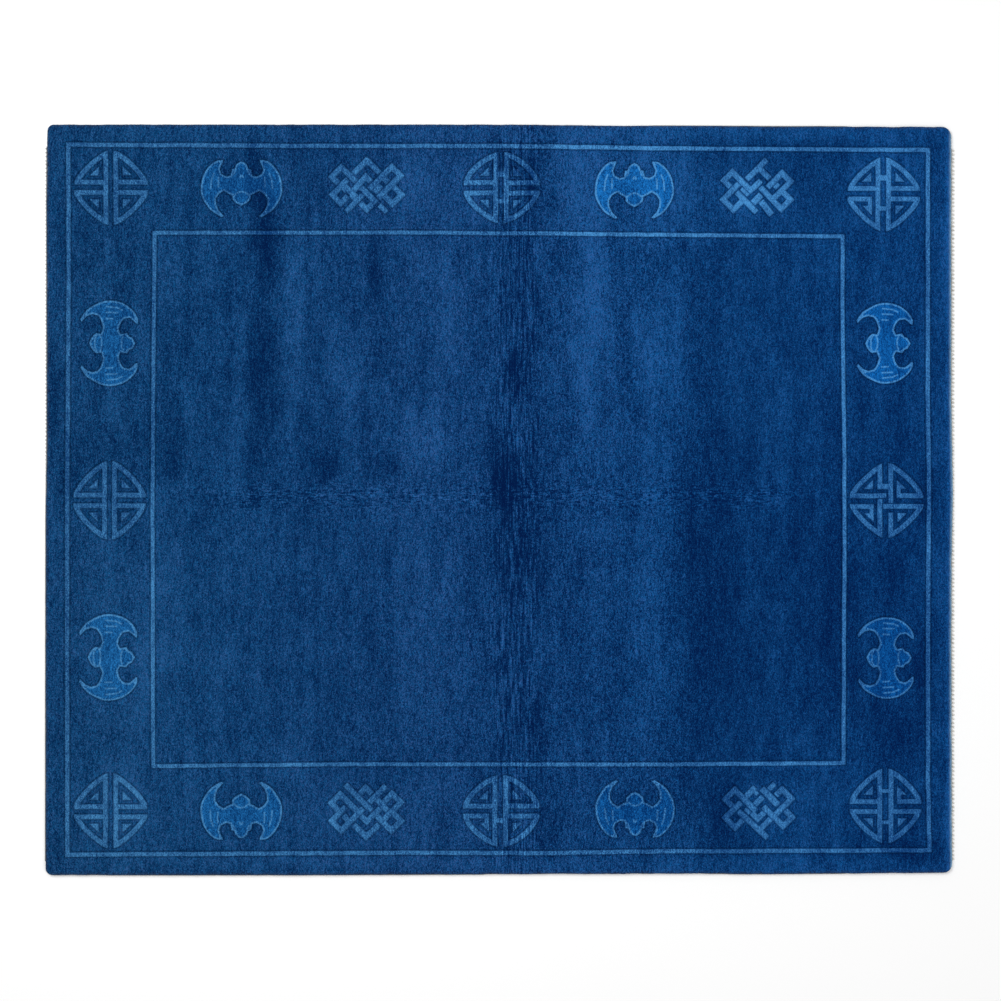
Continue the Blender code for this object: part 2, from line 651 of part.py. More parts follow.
def carpet_mesh():
    outline = quad_loop(PILE_EDGE, PILE_CORNERS)
    count = len(outline)
    mesh = bmesh.new()
    rings = []
    for ring in RIM[:-1]:
        spots = [rim_place(outline, index, ring) for index in range(count)]
        rise = ring.height / PILE_TOP
        rings.append([mesh.verts.new((spot.x, spot.y, ring.height - rise**4 * sag(*spot))) for spot in spots])
    innermost = [rim_place(outline, index, RIM[-1]) for index in range(count)]
    points, faces, rim_indices = pile_face(innermost)
    face_verts = [mesh.verts.new(point) for point in points]
    rings.append([face_verts[index] for index in rim_indices])
    for face in faces:
        mesh.faces.new([face_verts[index] for index in face])
    for lower, upper in zip(rings, rings[1:]):
        for index in range(count):
            following = (index + 1) % count
            mesh.faces.new((lower[index], lower[following], upper[following], upper[index]))
    mesh.faces.new(rings[0][::-1])
    return mesh


# ---- Knotted ends --------------------------------------------------------------------------------


def loft(sections):
    """A closed body through sections that have the same number of points."""
    mesh = bmesh.new()
    rings = [[mesh.verts.new(point) for point in section] for section in sections]
    for ring, following in zip(rings, rings[1:]):
        for index in range(len(ring)):
            mesh.faces.new((ring[index - 1], ring[index], following[index], following[index - 1]))
    mesh.faces.new(rings[0])
    mesh.faces.new(rings[-1][::-1])
    return mesh


def right_end_mesh():
    """A web of bare foundation and a row of knots, drawn in and lower between one knot and the next."""
    start, end = RIGHT_END_SPAN
    count = 2 * round((end - start) / END_PITCH)
    sections = []
    for number in range(count + 1):
        y = start + (end - start) * number / count
        is_knot = number % 2 == 1
        inner = across(PILE_EDGE.right, y) + CLEARANCE
        outer = HALF_LENGTH - (0.0 if is_knot else PINCH_DEPTH)
        crown = KNOT_HEIGHT if is_knot else PINCH_HEIGHT
        profile = (
            (inner, 0.0),
            (outer, 0.0),
            (outer, crown * 0.55),
            (inner + WEB_WIDTH + (outer - inner - WEB_WIDTH) * 0.5, crown),
            (inner + WEB_WIDTH / 2, WEB_HEIGHT),
            (inner, WEB_HEIGHT),
        )
        sections.append([(x, y, z) for x, z in profile])
    return loft(sections)


def left_end_mesh():
    """The same finish on the left, pressed flat under the pile that leans over it."""
    start, end = LEFT_END_SPAN
    rows = [row[0] for row in PILE_EDGE.left if start < row[0] < end]
    steps = ceil((end - start) / LEFT_END_STEP)
    places = sorted(rows + [start + (end - start) * step / steps for step in range(steps + 1)])
    sections = []
    for y in places:
        inner = across(PILE_EDGE.left, y) + UNDERCUT - CLEARANCE
        foot = ((-HALF_LENGTH, 0.0), (inner, 0.0))
        top = ((inner, LEFT_END_HEIGHT), (-HALF_LENGTH, LEFT_END_HEIGHT))
        sections.append([(x, y, z) for x, z in foot + top])
    return loft(sections)


# ---- Scene ---------------------------------------------------------------------------------------


def new_material(name, finish):
    colour, roughness = finish
    material = bpy.data.materials.new(name)
    material.use_nodes = True
    shader = material.node_tree.nodes["Principled BSDF"]
    shader.inputs["Base Color"].default_value = colour
    shader.inputs["Roughness"].default_value = roughness
    shader.inputs["Metallic"].default_value = 0.0
    return material


def new_object(name, mesh, material, collection):
    """An object from a mesh in millimetres, closed, in triangles and with its faces out."""
    bmesh.ops.triangulate(mesh, faces=mesh.faces[:])
    bmesh.ops.recalc_face_normals(mesh, faces=mesh.faces[:])
    bmesh.ops.scale(mesh, vec=(METRES, METRES, METRES), verts=mesh.verts[:])
    data = bpy.data.meshes.new(name)
    mesh.to_mesh(data)
    mesh.free()
    data.materials.append(material)
    collection.objects.link(bpy.data.objects.new(name, data))


def main():
    for old in list(bpy.data.objects):
        bpy.data.objects.remove(old, do_unlink=True)
    rug = bpy.data.collections.new("art_deco_rug")
    bpy.context.scene.collection.children.link(rug)
    new_object("carpet", carpet_mesh(), new_material("navy_wool", WOOL), rug)
    cotton = new_material("knotted_cotton", COTTON)
    new_object("knotted_end_right", right_end_mesh(), cotton, rug)
    new_object("knotted_end_left", left_end_mesh(), cotton.copy(), rug)


main()
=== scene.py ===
# The looks of a hand-knotted Chinese rug of the art deco years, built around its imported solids.
#
# The wool pile is one carved surface in tiles, the cotton foundation under it is one thin sheet, and the
# knotted warp ends are real small knots. X runs along the warps, Y along the wefts, and Z = 0 is the
# floor. Plan sizes here are millimetres, and METRES turns them into the frame's unit.
from collections import defaultdict, namedtuple
from math import acos, asin, ceil, copysign, cos, pi, sin

import bpy
import numpy as np
from mathutils import Matrix, Vector
from mathutils.geometry import delaunay_2d_cdt


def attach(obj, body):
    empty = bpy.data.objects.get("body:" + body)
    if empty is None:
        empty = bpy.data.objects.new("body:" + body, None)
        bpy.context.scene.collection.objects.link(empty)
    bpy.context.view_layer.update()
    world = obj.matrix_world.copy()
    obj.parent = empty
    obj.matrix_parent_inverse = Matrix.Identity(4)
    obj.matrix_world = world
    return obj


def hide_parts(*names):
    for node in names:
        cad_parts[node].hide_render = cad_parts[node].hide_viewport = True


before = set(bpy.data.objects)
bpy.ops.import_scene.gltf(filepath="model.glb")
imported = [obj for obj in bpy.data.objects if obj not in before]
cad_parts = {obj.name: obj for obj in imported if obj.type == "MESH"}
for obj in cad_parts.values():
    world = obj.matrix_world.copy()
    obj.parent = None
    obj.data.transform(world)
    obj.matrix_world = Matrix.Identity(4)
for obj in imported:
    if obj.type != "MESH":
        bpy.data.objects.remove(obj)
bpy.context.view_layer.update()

METRES = 0.001

# ---- Driving sizes -------------------------------------------------------------------------------

HALF_LENGTH = 1478.0  # half of the whole length, over the knotted ends
PILE_TOP = 14.0  # the clipped face of the pile above the floor
OUTER_LINE_WIDTH = 14.0
INNER_LINE_WIDTH = 13.0

MERGE = 0.001  # points closer than this are one point
COLLINEAR = 0.004  # sine of the bend under which a point of a contour is left out
TIP_FLOOR = 0.5  # keeps the groove round a sharp tip close to the tip
WEDGE_FLOOR = 0.02  # and lets it run deep into a narrow wedge

# Four sides as tables of (place along the side, position across it), each in rising order.
Quad = namedtuple("Quad", "bottom right top left")

PILE_EDGE = Quad(
    bottom=((-1475, -1220.2), (-650, -1220), (-163, -1218), (650, -1215), (812, -1217), (1446, -1213)),
    right=((-1170, 1468.5), (-650, 1466.5), (-195, 1467), (25, 1471), (324, 1466), (1153, 1466.5)),
    top=((-1472, 1220.2), (0, 1220.2), (455, 1216.3), (845, 1214.4), (1397, 1212.4)),
    left=((-1196, -1477.6), (-650, -1477.3), (-65, -1476.6), (227, -1473), (974, -1474), (1202, -1472)),
)
PILE_CORNERS = (21.0, 26.0, 29.0, 20.0)  # radii: bottom left, bottom right, top right, top left

# The middle of each frame line. A knotted line wavers by a knot or two, and the rug was stretched a
# little out of square.
OUTER_LINE = Quad(
    bottom=((-1404, -1154), (-650, -1150), (-325, -1147), (162, -1148), (487, -1143), (1393, -1139)),
    right=((-1138, 1396.5), (-910, 1391), (-325, 1391.5), (32, 1394.5), (324, 1390.5), (1137, 1391)),
    top=((-1404, 1154.5), (-585, 1150), (0, 1150.5), (487, 1143), (812, 1140), (1391, 1137)),
    left=((-1138, -1406.5), (-488, -1407), (65, -1406.5), (389, -1403.5), (714, -1401.5), (1153, -1403)),
)
INNER_LINE = Quad(
    bottom=((-1125, -866), (-520, -859.5), (0, -861), (520, -860.5), (1113, -855)),
    right=((-855, 1116.5), (-160, 1119.5), (130, 1119.5), (550, 1113.5), (857, 1113.5)),
    top=((-1125, 868), (-260, 868.5), (160, 865.5), (680, 859.5), (1113, 856.5)),
    left=((-866, -1127), (-450, -1129), (0, -1129.5), (550, -1124.5), (867, -1122.5)),
)

# Two soft folds where the rug lay folded away: (place, half width, depth).
Fold = namedtuple("Fold", "place reach depth")
FOLD_ACROSS = Fold(place=32.0, reach=66.0, depth=1.8)  # a trough along Y, at this X
FOLD_ALONG = Fold(place=32.0, reach=60.0, depth=0.8)  # a fainter one along X, at this Y

# ---- Motifs --------------------------------------------------------------------------------------

# Roundels: the size over all and the bulge of the rim (2 is an ellipse, 1 a straight slant); the sides of
# the upright gap and of the level notch, as distances from the middle; the ties over the gap, as (middle,
# height); the quarters whose triangle hangs on the level bar, as (sign of x, sign of y); and whether the
# bars pass over and under each other in the middle.
Roundel = namedtuple("Roundel", "x y width height bulge gap notch ties hooks is_interlaced")
ROUNDELS = (
    Roundel(-1263.8, 1014.2, 237, 240, 1.27, (-10, 8), (-8, 11), (), (), False),
    Roundel(5.4, 1015.5, 246, 229, 1.43, (-12, 8), (-11, 8), ((44, 17), (-45, 13)), (), False),
    Roundel(1247.8, 993.0, 234, 237, 1.27, (-12, 8), (-8, 12), ((54, 17), (-46, 13)), ((-1, -1),), False),
    Roundel(-1269.3, -2.1, 234, 253, 1.3, (-9, 9), (-10, 10), (), (), False),
    Roundel(1256.6, -2.1, 237, 240, 1.25, (-15, 6), (-12, 8), ((45, 16),), ((1, 1), (-1, -1)), True),
    Roundel(-1266.0, -1011.2, 237, 240, 1.27, (-9, 10), (-12, 6), (), (), False),
    Roundel(4.4, -1011.9, 247, 231, 1.45, (-14, 7), (-9, 9), ((-31, 16),), ((-1, -1),), False),
    Roundel(1253.4, -995.0, 231, 240, 1.3, (-12, 10), (-11, 7), ((49, 11), (-54, 11)), ((1, 1),), False),
)
QUARTERS = ((1, 1), (-1, 1), (-1, -1), (1, -1))  # counter-clockwise, as (sign of x, sign of y)
ROUNDEL_FLAT = (14.0, 20.0)  # from the middle, how far the rim runs level at its top and upright at its side
ROUNDEL_STEPS = 7
ROUNDEL_BAR = 14.5
ROUNDEL_BAND = 14.0  # the rim's own width
TIE_SETBACK = 1.0  # how far a tie stops short of the far sides of its bars
WINDOW_FLAT = (8.0, 14.0)  # less than the rim's, so that the band is as wide on its slant
WINDOW_STEPS = 4
ROUNDEL_TRIANGLE = 28.0  # legs of the triangle in each window
ROUNDEL_SETBACK = 15.5  # from the window's bars to the triangle
HOOK_SETBACK = 12.5  # from the upright bar to a level bar that turns into its triangle
HOOK_WIDTH = 12.0
UNDERPASS = 14.0  # the break in a bar on its way under another
SLIT = 4.5  # the narrow dark line along the other side of that bar
OVERHANG = 8.0  # how far the bar on top stops short of the next one
OVERLAP = 14.0  # between two shapes of one kind that make one, so that a spread edge leaves no seam

# Half of a bat, head up, from the tip of its tail by the underside of the wing to the top of the head. Each
# row runs smoothly to its last point, where the outline turns sharply; only the top of the head is round.
# The whole is BAT_SPAN wide and BAT_DEPTH high. A knot is higher than it is wide, so the bats that lie on
# their side came out with a longer tail and a thinner body.
BAT_SPAN = 266.0
BAT_DEPTH = 188.0
UPRIGHT_HALF = (
    ((0, -56),),  # tip of the tail
    ((16, -48), (29, -36), (30, -22)),  # to where the tail leaves the body
    ((42, -17), (58, -8), (74, -18), (84, -33), (83, -53), (75, -71), (57, -90)),  # to the wing's lower tip
    ((65, -93),),
    ((101, -71), (128, -30), (133, 4), (122, 49), (97, 81), (76, 92), (60, 93)),  # to its upper tip
    ((61, 86),),
    ((71, 62), (66, 47), (50, 39), (35, 42)),  # the hollow beside the head
    ((32, 62),),  # shoulder
    ((22, 65),),
    ((18, 77), (0, 88)),  # by the cheek to the top of the head
)
SIDEWAYS_HALF = (
    ((0, -65),),
    ((17, -57), (32, -41), (29, -26)),
    ((48, -19), (68, -25), (86, -38), (90, -55), (84, -72), (67, -89)),
    ((75, -93),),
    ((104, -72), (127, -30), (133, 4), (125, 45), (100, 79), (76, 93), (61, 93)),
    ((62, 87),),
    ((79, 66), (76, 48), (58, 35), (42, 31), (28, 38)),
    ((32, 58), (21, 65)),
    ((17, 76), (0, 86)),
)
BAT_STEP = 21.0  # longest straight piece of a bat's curve

# Bats: size over the wings and from tail to head, and the quarter turns that set the head, 0 for up.
Bat = namedtuple("Bat", "x y span depth turns half")
BATS = (
    Bat(-840.0, 1011.9, 266, 188, 0, UPRIGHT_HALF),
    Bat(436.6, 1007.0, 257, 188, 0, UPRIGHT_HALF),
    Bat(-841.3, -1011.2, 266, 191, 2, UPRIGHT_HALF),
    Bat(438.6, -1004.7, 257, 188, 2, UPRIGHT_HALF),
    Bat(-1270.6, 508.5, 279, 188, 3, SIDEWAYS_HALF),
    Bat(-1273.5, -512.0, 282, 191, 3, SIDEWAYS_HALF),
    Bat(1250.4, 508.5, 263, 184, 3, SIDEWAYS_HALF),
    Bat(1253.7, -513.7, 266, 184, 3, SIDEWAYS_HALF),
)

# Endless knots, charted on a lattice that stands on its corner: each step of i goes up and right by half a
# cell, and each step of j down and right. A stroke ends where it dips under another. Each row is (width,
# its points).
KNOT_MIDDLE = 2.5
STROKE = 15.0
THIN = 9.0
TAIL = 13.0
WIDE = 17.5
KNOT_A = (
    (STROKE, ((2.45, 1.05), (3.95, 1.05), (3.95, 2.45))),
    (STROKE, ((2.1, 1.6), (2.1, 0), (1, 0), (1, 0.7))),
    (STROKE, ((1.7, 1.05), (0, 1.05), (0, 2), (0.75, 2))),
    (STROKE, ((0.85, 1.45), (1.2, 1.45), (1.2, 2.35), (0.9, 2.35))),
    (STROKE, ((1.5, 2.02), (2.95, 1.92), (2.95, 2.45))),
    (STROKE, ((2.45, 2.85), (5, 2.85), (5, 3.85), (2.45, 3.85))),
    (STROKE, ((3.9, 3.1), (3.9, 3.45))),
    (STROKE, ((3.3, 3.3), (2.55, 3.3))),
    (STROKE, ((3.95, 4.15), (3.95, 5), (2.9, 5), (2.9, 4.1))),
    (STROKE, ((2.05, 2.3), (2.05, 4))),
    (STROKE, ((1.15, 3.15), (1.15, 3.85), (1.75, 3.85))),
    (TAIL, ((1.7, 2.8), (-0.15, 2.8))),
    (TAIL, ((2.1, 4.35), (2.1, 5.1))),
)
KNOT_B = (
    (STROKE, ((2, 1.85), (2, 0), (1, 0), (1, 0.8))),
    (STROKE, ((1.6, 1.05), (0, 1.05), (0, 2.15), (2.45, 2.15))),
    (STROKE, ((1, 1.45), (1, 1.9))),
    (STROKE, ((2.85, -0.2), (2.85, 2.7))),
    (STROKE, ((3.2, 1.1), (3.85, 1.1), (3.85, 1.75))),
    (STROKE, ((5.05, 2.15), (3.2, 2.15))),
    (STROKE, ((4.1, 2.95), (5, 2.95), (5, 3.95), (3.15, 3.95))),
    (STROKE, ((3.8, 2.45), (3.8, 3.6))),
    (STROKE, ((3.95, 4.25), (3.95, 5), (2.85, 5), (2.85, 3.4))),
    (STROKE, ((3.5, 3.1), (1.95, 3.1), (1.95, 2.5))),
    (STROKE, ((1.05, 2.55), (1.05, 3.95), (2.45, 3.95))),
)
KNOT_C = (
    (STROKE, ((2.6, 1.25), (4.85, 1.25))),
    (STROKE, ((3.95, 1.25), (3.95, 2.5))),
    (STROKE, ((2.15, 2.3), (2.15, 0), (1.15, 0), (1.15, 0.7))),
    (STROKE, ((1.8, 1.05), (0, 1.05), (0, 2.25), (0.95, 2.25))),
    (STROKE, ((1.2, 1.45), (1.2, 3.7))),
    (THIN, ((1.7, 1.5), (1.7, 2.25))),
    (STROKE, ((3.3, 2.15), (2.35, 2.15))),
    (WIDE, ((2.45, 3), (1.55, 3))),
    (STROKE, ((2.9, 2.55), (2.85, 5), (3.95, 5), (3.95, 4.2))),
    (STROKE, ((3.35, 2.95), (5, 2.95), (5, 3.95), (3.1, 3.95))),
    (THIN, ((4.15, 3.4), (3.7, 3.4))),
    (WIDE, ((2.1, 3.4), (1.95, 4.75))),
)
KNOT_D = (
    (STROKE, ((2.2, 2.45), (2.2, 0), (1.1, 0), (1.1, 0.8))),
    (STROKE, ((1.8, 1.1), (0, 1.1), (0, 2.25), (0.85, 2.25))),
    (STROKE, ((1.15, 1.5), (1.3, 4.7))),
    (STROKE, ((1.3, 3.8), (2.55, 3.8))),
    (THIN, ((1.7, 1.75), (1.7, 2.25))),
    (STROKE, ((1.85, 2.4), (1.85, 3.05), (2.55, 3.05))),
    (STROKE, ((2.5, 1.05), (3.5, 1.05))),
    (THIN, ((3.25, 1.1), (3.25, 1.6))),
    (STROKE, ((3.4, 2.05), (2.55, 2.05))),
    (WIDE, ((3.85, 1.55), (3.85, 3.4))),
    (TAIL, ((4.85, 2), (4.25, 2))),
    (STROKE, ((4.3, 2.75), (5, 2.75), (5, 3.85), (3.2, 3.85))),
    (STROKE, ((2.9, 2.7), (2.9, 5), (3.95, 5), (3.95, 4.2))),
)
Knot = namedtuple("Knot", "x y cell strokes")
KNOTS = (
    Knot(-432.7, 1021.6, 57.0, KNOT_A),
    Knot(-434.7, -1013.8, 57.0, KNOT_B),
    Knot(835.1, 1005.7, 55.5, KNOT_C),
    Knot(840.6, -1003.1, 55.5, KNOT_D),
)

# ---- Plan geometry -------------------------------------------------------------------------------


def across(table, along):
    """The position across a side at one place along it, straight between the table's rows."""
    if along <= table[0][0]:
        return table[0][1]
    for (start, low), (end, high) in zip(table, table[1:]):
        if along <= end:
            return low + (high - low) * (along - start) / (end - start)
    return table[-1][1]


def quad_loop(quad, radii=(0, 0, 0, 0)):
    """The counter-clockwise loop through four sides, with round corners where radii says so."""
    corners = (
        (quad.left[0][1], quad.bottom[0][1], 1, 1),
        (quad.right[0][1], quad.bottom[-1][1], -1, 1),
        (quad.right[-1][1], quad.top[-1][1], -1, -1),
        (quad.left[-1][1], quad.top[0][1], 1, -1),
    )
    arcs = []
    for number, ((x, y, inward_x, inward_y), radius) in enumerate(zip(corners, radii)):
        steps = CORNER_STEPS if radius else 0
        turn = [pi * (1 + number / 2) + (pi / 2) * (step / max(steps, 1)) for step in range(steps + 1)]
        middle = Vector((x + inward_x * radius, y + inward_y * radius))
        arcs.append([middle + radius * Vector((cos(angle), sin(angle))) for angle in turn])
    bottom = [Vector((along, place)) for along, place in quad.bottom[1:-1]]
    right = [Vector((place, along)) for along, place in quad.right[1:-1]]
    top = [Vector((along, place)) for along, place in quad.top[-2:0:-1]]
    left = [Vector((place, along)) for along, place in quad.left[-2:0:-1]]
    return arcs[0] + bottom + arcs[1] + right + arcs[2] + top + arcs[3] + left


def grown(quad, amount):
    """The same four sides, each moved outwards."""
    signs = Quad(bottom=-1, right=1, top=1, left=-1)
    sides = [[(along, place + sign * amount) for along, place in side] for side, sign in zip(quad, signs)]
    return Quad(*sides)


def line_layers(quad, width):
    return [(quad_loop(grown(quad, width / 2)), True), (quad_loop(grown(quad, -width / 2)), False)]


def area_of(loop):
    """The area inside a loop, negative if it runs clockwise."""
    return sum(here.x * after.y - here.y * after.x for here, after in zip(loop, loop[1:] + loop[:1])) / 2


def contours_of(layers, spread):
    """The edges of a motif's light pile, spread outwards, as loops with the light on their left.

    A layer is a counter-clockwise outline and whether it is light. A later layer covers an earlier one, and
    one that the spreading closes up is left out.
    """
    spread_layers = [(offset_loop(outline, spread if light else -spread), light) for outline, light in layers]
    layers = [layer for layer in spread_layers if area_of(layer[0]) > 0]
    points = []
    outlines = []
    for outline, _ in layers:
        outlines.append(list(range(len(points), len(points) + len(outline))))
        points += outline
    corners, _, faces, _, _, covers = delaunay_2d_cdt(points, [], outlines, 1, MERGE)
    edges = set()
    for face, cover in zip(faces, covers):
        if cover and layers[max(cover)][1]:
            for edge in zip(face, face[1:] + face[:1]):
                if edge[::-1] in edges:
                    edges.remove(edge[::-1])
                else:
                    edges.add(edge)
    onward = defaultdict(list)
    for start, end in sorted(edges):
        onward[start].append(end)
    loops = []
    for first in sorted(onward):
        while onward[first]:
            loop = [first]
            while onward[loop[-1]]:
                loop.append(onward[loop[-1]].pop())
            loops.append(without_straights([corners[index] for index in loop[:-1]]))
    return loops


def bends(loop):
    """Each point of a loop, the way to its right, and the sine and the cosine of its turn to the left."""
    for before, here, after in zip(loop[-1:] + loop[:-1], loop, loop[1:] + loop[:1]):
        arriving = (here - before).normalized()
        leaving = (after - here).normalized()
        sideways = Vector((arriving.y + leaving.y, -arriving.x - leaving.x))
        yield here, sideways, arriving.x * leaving.y - arriving.y * leaving.x, arriving.dot(leaving)


def without_straights(loop):
    """The loop without the points at which it doesn't turn."""
    return [here for here, _, turn, _ in bends(loop) if abs(turn) > COLLINEAR]


def offset_loop(loop, amount):
    """The loop moved to its right, with mitred corners."""
    moved = []
    for here, sideways, turn, onward in bends(loop):
        floor = TIP_FLOOR if turn * amount > 0 else WEDGE_FLOOR
        moved.append(here + amount * sideways / max(1 + onward, floor))
    return moved


def split_fine(chain, longest, is_loop=True):
    """The chain of points with none of its straight pieces longer than that."""
    ends = chain[1:] + chain[:1] if is_loop else chain[1:]
    fine = []
    for start, end in zip(chain, ends):
        steps = max(ceil((end - start).length / longest), 1)
        fine += [start.lerp(end, step / steps) for step in range(steps)]
    return fine if is_loop else fine + [chain[-1]]


def segment_gap(spots, start, end):
    """From each spot to the straight piece from start to end."""
    run = end - start
    share = np.clip((spots - start) @ run / max(run @ run, MERGE**2), 0, 1)
    return np.hypot(*(spots - start - share[:, None] * run).T)


def signed_gap(spots, motifs, reach):
    """From each spot to the nearest light edge, at most reach, and below zero on the light."""
    gaps = np.full(len(spots), float(reach))
    for loops in motifs:
        corners = [np.array([tuple(point) for point in loop]) for loop in loops]
        low = np.min([loop.min(axis=0) for loop in corners], axis=0) - reach
        high = np.max([loop.max(axis=0) for loop in corners], axis=0) + reach
        near = np.flatnonzero(((spots > low) & (spots < high)).all(axis=1))
        x, y = spots[near].T
        gap = np.full(len(near), float(reach))
        is_light = np.zeros(len(near), bool)
        for loop in corners:
            for start, end in zip(loop, np.roll(loop, -1, axis=0)):
                gap = np.minimum(gap, segment_gap(spots[near], start, end))
                if start[1] != end[1]:
                    crossing = start[0] + (y - start[1]) * (end[0] - start[0]) / (end[1] - start[1])
                    is_light ^= ((start[1] > y) != (end[1] > y)) & (x < crossing)
        gaps[near] = np.where(is_light, -gap, np.minimum(gap, gaps[near]))
    return gaps


def rectangle(left, bottom, right, top):
    return [Vector((left, bottom)), Vector((right, bottom)), Vector((right, top)), Vector((left, top))]


def shifted(outline, x, y):
    return [point + Vector((x, y)) for point in outline]


# ---- Roundels ------------------------------------------------------------------------------------


def slant(roundel, flat, inset, lowest, highest, steps):
    """The bulging slant of the upper right quarter, between its upright stretch and its level one."""
    reach = Vector((roundel.width / 2 - inset - flat[0], roundel.height / 2 - inset - flat[1]))
    arc = []
    for step in range(steps + 1):
        angle = lowest + (highest - lowest) * step / steps
        across_share = max(cos(angle), 0) ** (2 / roundel.bulge)
        up_share = max(sin(angle), 0) ** (2 / roundel.bulge)
        arc.append(Vector((flat[0] + reach.x * across_share, flat[1] + reach.y * up_share)))
    return arc


def window(roundel, left, bottom):
    """The dark window in the upper right quarter: a right angle at the bars and an arc under the rim band."""
    width = roundel.width / 2 - ROUNDEL_BAND - WINDOW_FLAT[0]
    height = roundel.height / 2 - ROUNDEL_BAND - WINDOW_FLAT[1]
    lowest = asin(((bottom - WINDOW_FLAT[1]) / height) ** (roundel.bulge / 2))
    highest = acos(((left - WINDOW_FLAT[0]) / width) ** (roundel.bulge / 2))
    return [Vector((left, bottom))] + slant(roundel, WINDOW_FLAT, ROUNDEL_BAND, lowest, highest, WINDOW_STEPS)


def mirrored(outline, sign_x, sign_y):
    """The outline in another quarter, still counter-clockwise."""
    flipped = [Vector((sign_x * point.x, sign_y * point.y)) for point in outline]
    return flipped if sign_x * sign_y > 0 else flipped[::-1]


def quarter_layers(roundel, sign_x, sign_y):
    """A quarter's window and the triangle in it, drawn for the upper right and then mirrored."""
    upright = (roundel.gap[1] if sign_x > 0 else -roundel.gap[0]) + ROUNDEL_BAR
    level = (roundel.notch[1] if sign_y > 0 else -roundel.notch[0]) + ROUNDEL_BAR
    is_hooked = (sign_x, sign_y) in roundel.hooks
    corner = Vector((upright + (HOOK_SETBACK if is_hooked else ROUNDEL_SETBACK), level + ROUNDEL_SETBACK))
    triangle = [corner, corner + Vector((ROUNDEL_TRIANGLE, 0)), corner + Vector((0, ROUNDEL_TRIANGLE))]
    layers = [(window(roundel, upright, level), False)]
    if is_hooked:
        notch = level - ROUNDEL_BAR - OVERLAP
        layers.append((rectangle(upright, notch, corner.x, level + OVERLAP), False))
        hook = rectangle(corner.x, level - OVERLAP / 2, corner.x + HOOK_WIDTH, corner.y + HOOK_WIDTH / 2)
        layers.append((hook, True))
    layers.append((triangle, True))
    return [(mirrored(outline, sign_x, sign_y), is_light) for outline, is_light in layers]


def interlaced_layers(roundel):
    """The crossings of the upper left and the lower right bars, each level bar over its upright one."""
    left, right = roundel.gap
    bottom, top = roundel.notch
    far_left = left - ROUNDEL_BAR
    far_right = right + ROUNDEL_BAR
    above = top + ROUNDEL_BAR
    below = bottom - ROUNDEL_BAR
    return [
        (rectangle(far_left - OVERLAP, above, left + OVERLAP, above + UNDERPASS), False),
        (rectangle(far_left - OVERLAP, top - SLIT, left + OVERLAP, top), False),
        (rectangle(far_left - OVERLAP, top, right - OVERHANG, above), True),
        (rectangle(right - OVERLAP, below - UNDERPASS, far_right + OVERLAP, below), False),
        (rectangle(right - OVERLAP, bottom, far_right + OVERLAP, bottom + SLIT), False),
        (rectangle(left + SLIT, below, far_right + OVERLAP, bottom), True),
    ]


def roundel_layers(roundel):
    reach = max(roundel.width, roundel.height)
    left, right = roundel.gap
    bottom, top = roundel.notch
    quarter = slant(roundel, ROUNDEL_FLAT, 0.0, 0.0, pi / 2, ROUNDEL_STEPS)
    rim = [point for signs in QUARTERS for point in mirrored(quarter, *signs)]
    layers = [(rim, True), (rectangle(left, -reach, right, reach), False)]
    layers.append((rectangle(right + ROUNDEL_BAR, bottom, reach, top), False))
    layers.append((rectangle(-reach, bottom, left - ROUNDEL_BAR, top), False))
    for signs in QUARTERS:
        layers += quarter_layers(roundel, *signs)
    if roundel.is_interlaced:
        layers += interlaced_layers(roundel)
    for middle, height in roundel.ties:
        reach = ROUNDEL_BAR - TIE_SETBACK
        tie = rectangle(left - reach, middle - height / 2, right + reach, middle + height / 2)
        layers.append((tie, True))
    return [(shifted(outline, roundel.x, roundel.y), is_light) for outline, is_light in layers]


# ---- Bats ----------------------------------------------------------------------------------------


def curve_point(before, start, end, after, share):
    """A point of the curve from start to end that leaves and arrives the way its neighbours lie."""
    straight = 2 * start + share * (end - before)
    bend = share**2 * (2 * before - 5 * start + 4 * end - after)
    swing = share**3 * (3 * start - before - 3 * end + after)
    return (straight + bend + swing) / 2


def smoothed(half):
    """The right half of a bat, from the tail to the head, as short straight pieces."""
    places = [Vector(point) for row in half for point in row]
    is_sharp = [point == row[-1] for row in half for point in row]
    is_sharp[-1] = False  # the top of the head
    beyond = places + [Vector((-places[-2].x, places[-2].y))]
    outline = []
    for index, (start, end) in enumerate(zip(places, places[1:])):
        before = start if is_sharp[index] else places[index - 1]
        after = end if is_sharp[index + 1] else beyond[index + 2]
        steps = ceil((end - start).length / BAT_STEP)
        outline += [curve_point(before, start, end, after, step / steps) for step in range(steps)]
    return outline + [places[-1]]


def bat_spot(bat, x, y):
    """Where a place of the standard bat lies on the rug."""
    spot = Vector((x * bat.span / BAT_SPAN, y * bat.depth / BAT_DEPTH))
    for _ in range(bat.turns):
        spot = Vector((-spot.y, spot.x))
    return spot + Vector((bat.x, bat.y))


def bat_layers(bat):
    half = smoothed(bat.half)
    whole = half + [Vector((-point.x, point.y)) for point in reversed(half[1:-1])]
    return [([bat_spot(bat, *point) for point in whole], True)]


# ---- Endless knots -------------------------------------------------------------------------------


def lattice_point(knot, i, j):
    over = (i + j - 2 * KNOT_MIDDLE) * knot.cell / 2
    up = (i - j) * knot.cell / 2
    return Vector((knot.x + over, knot.y + up))


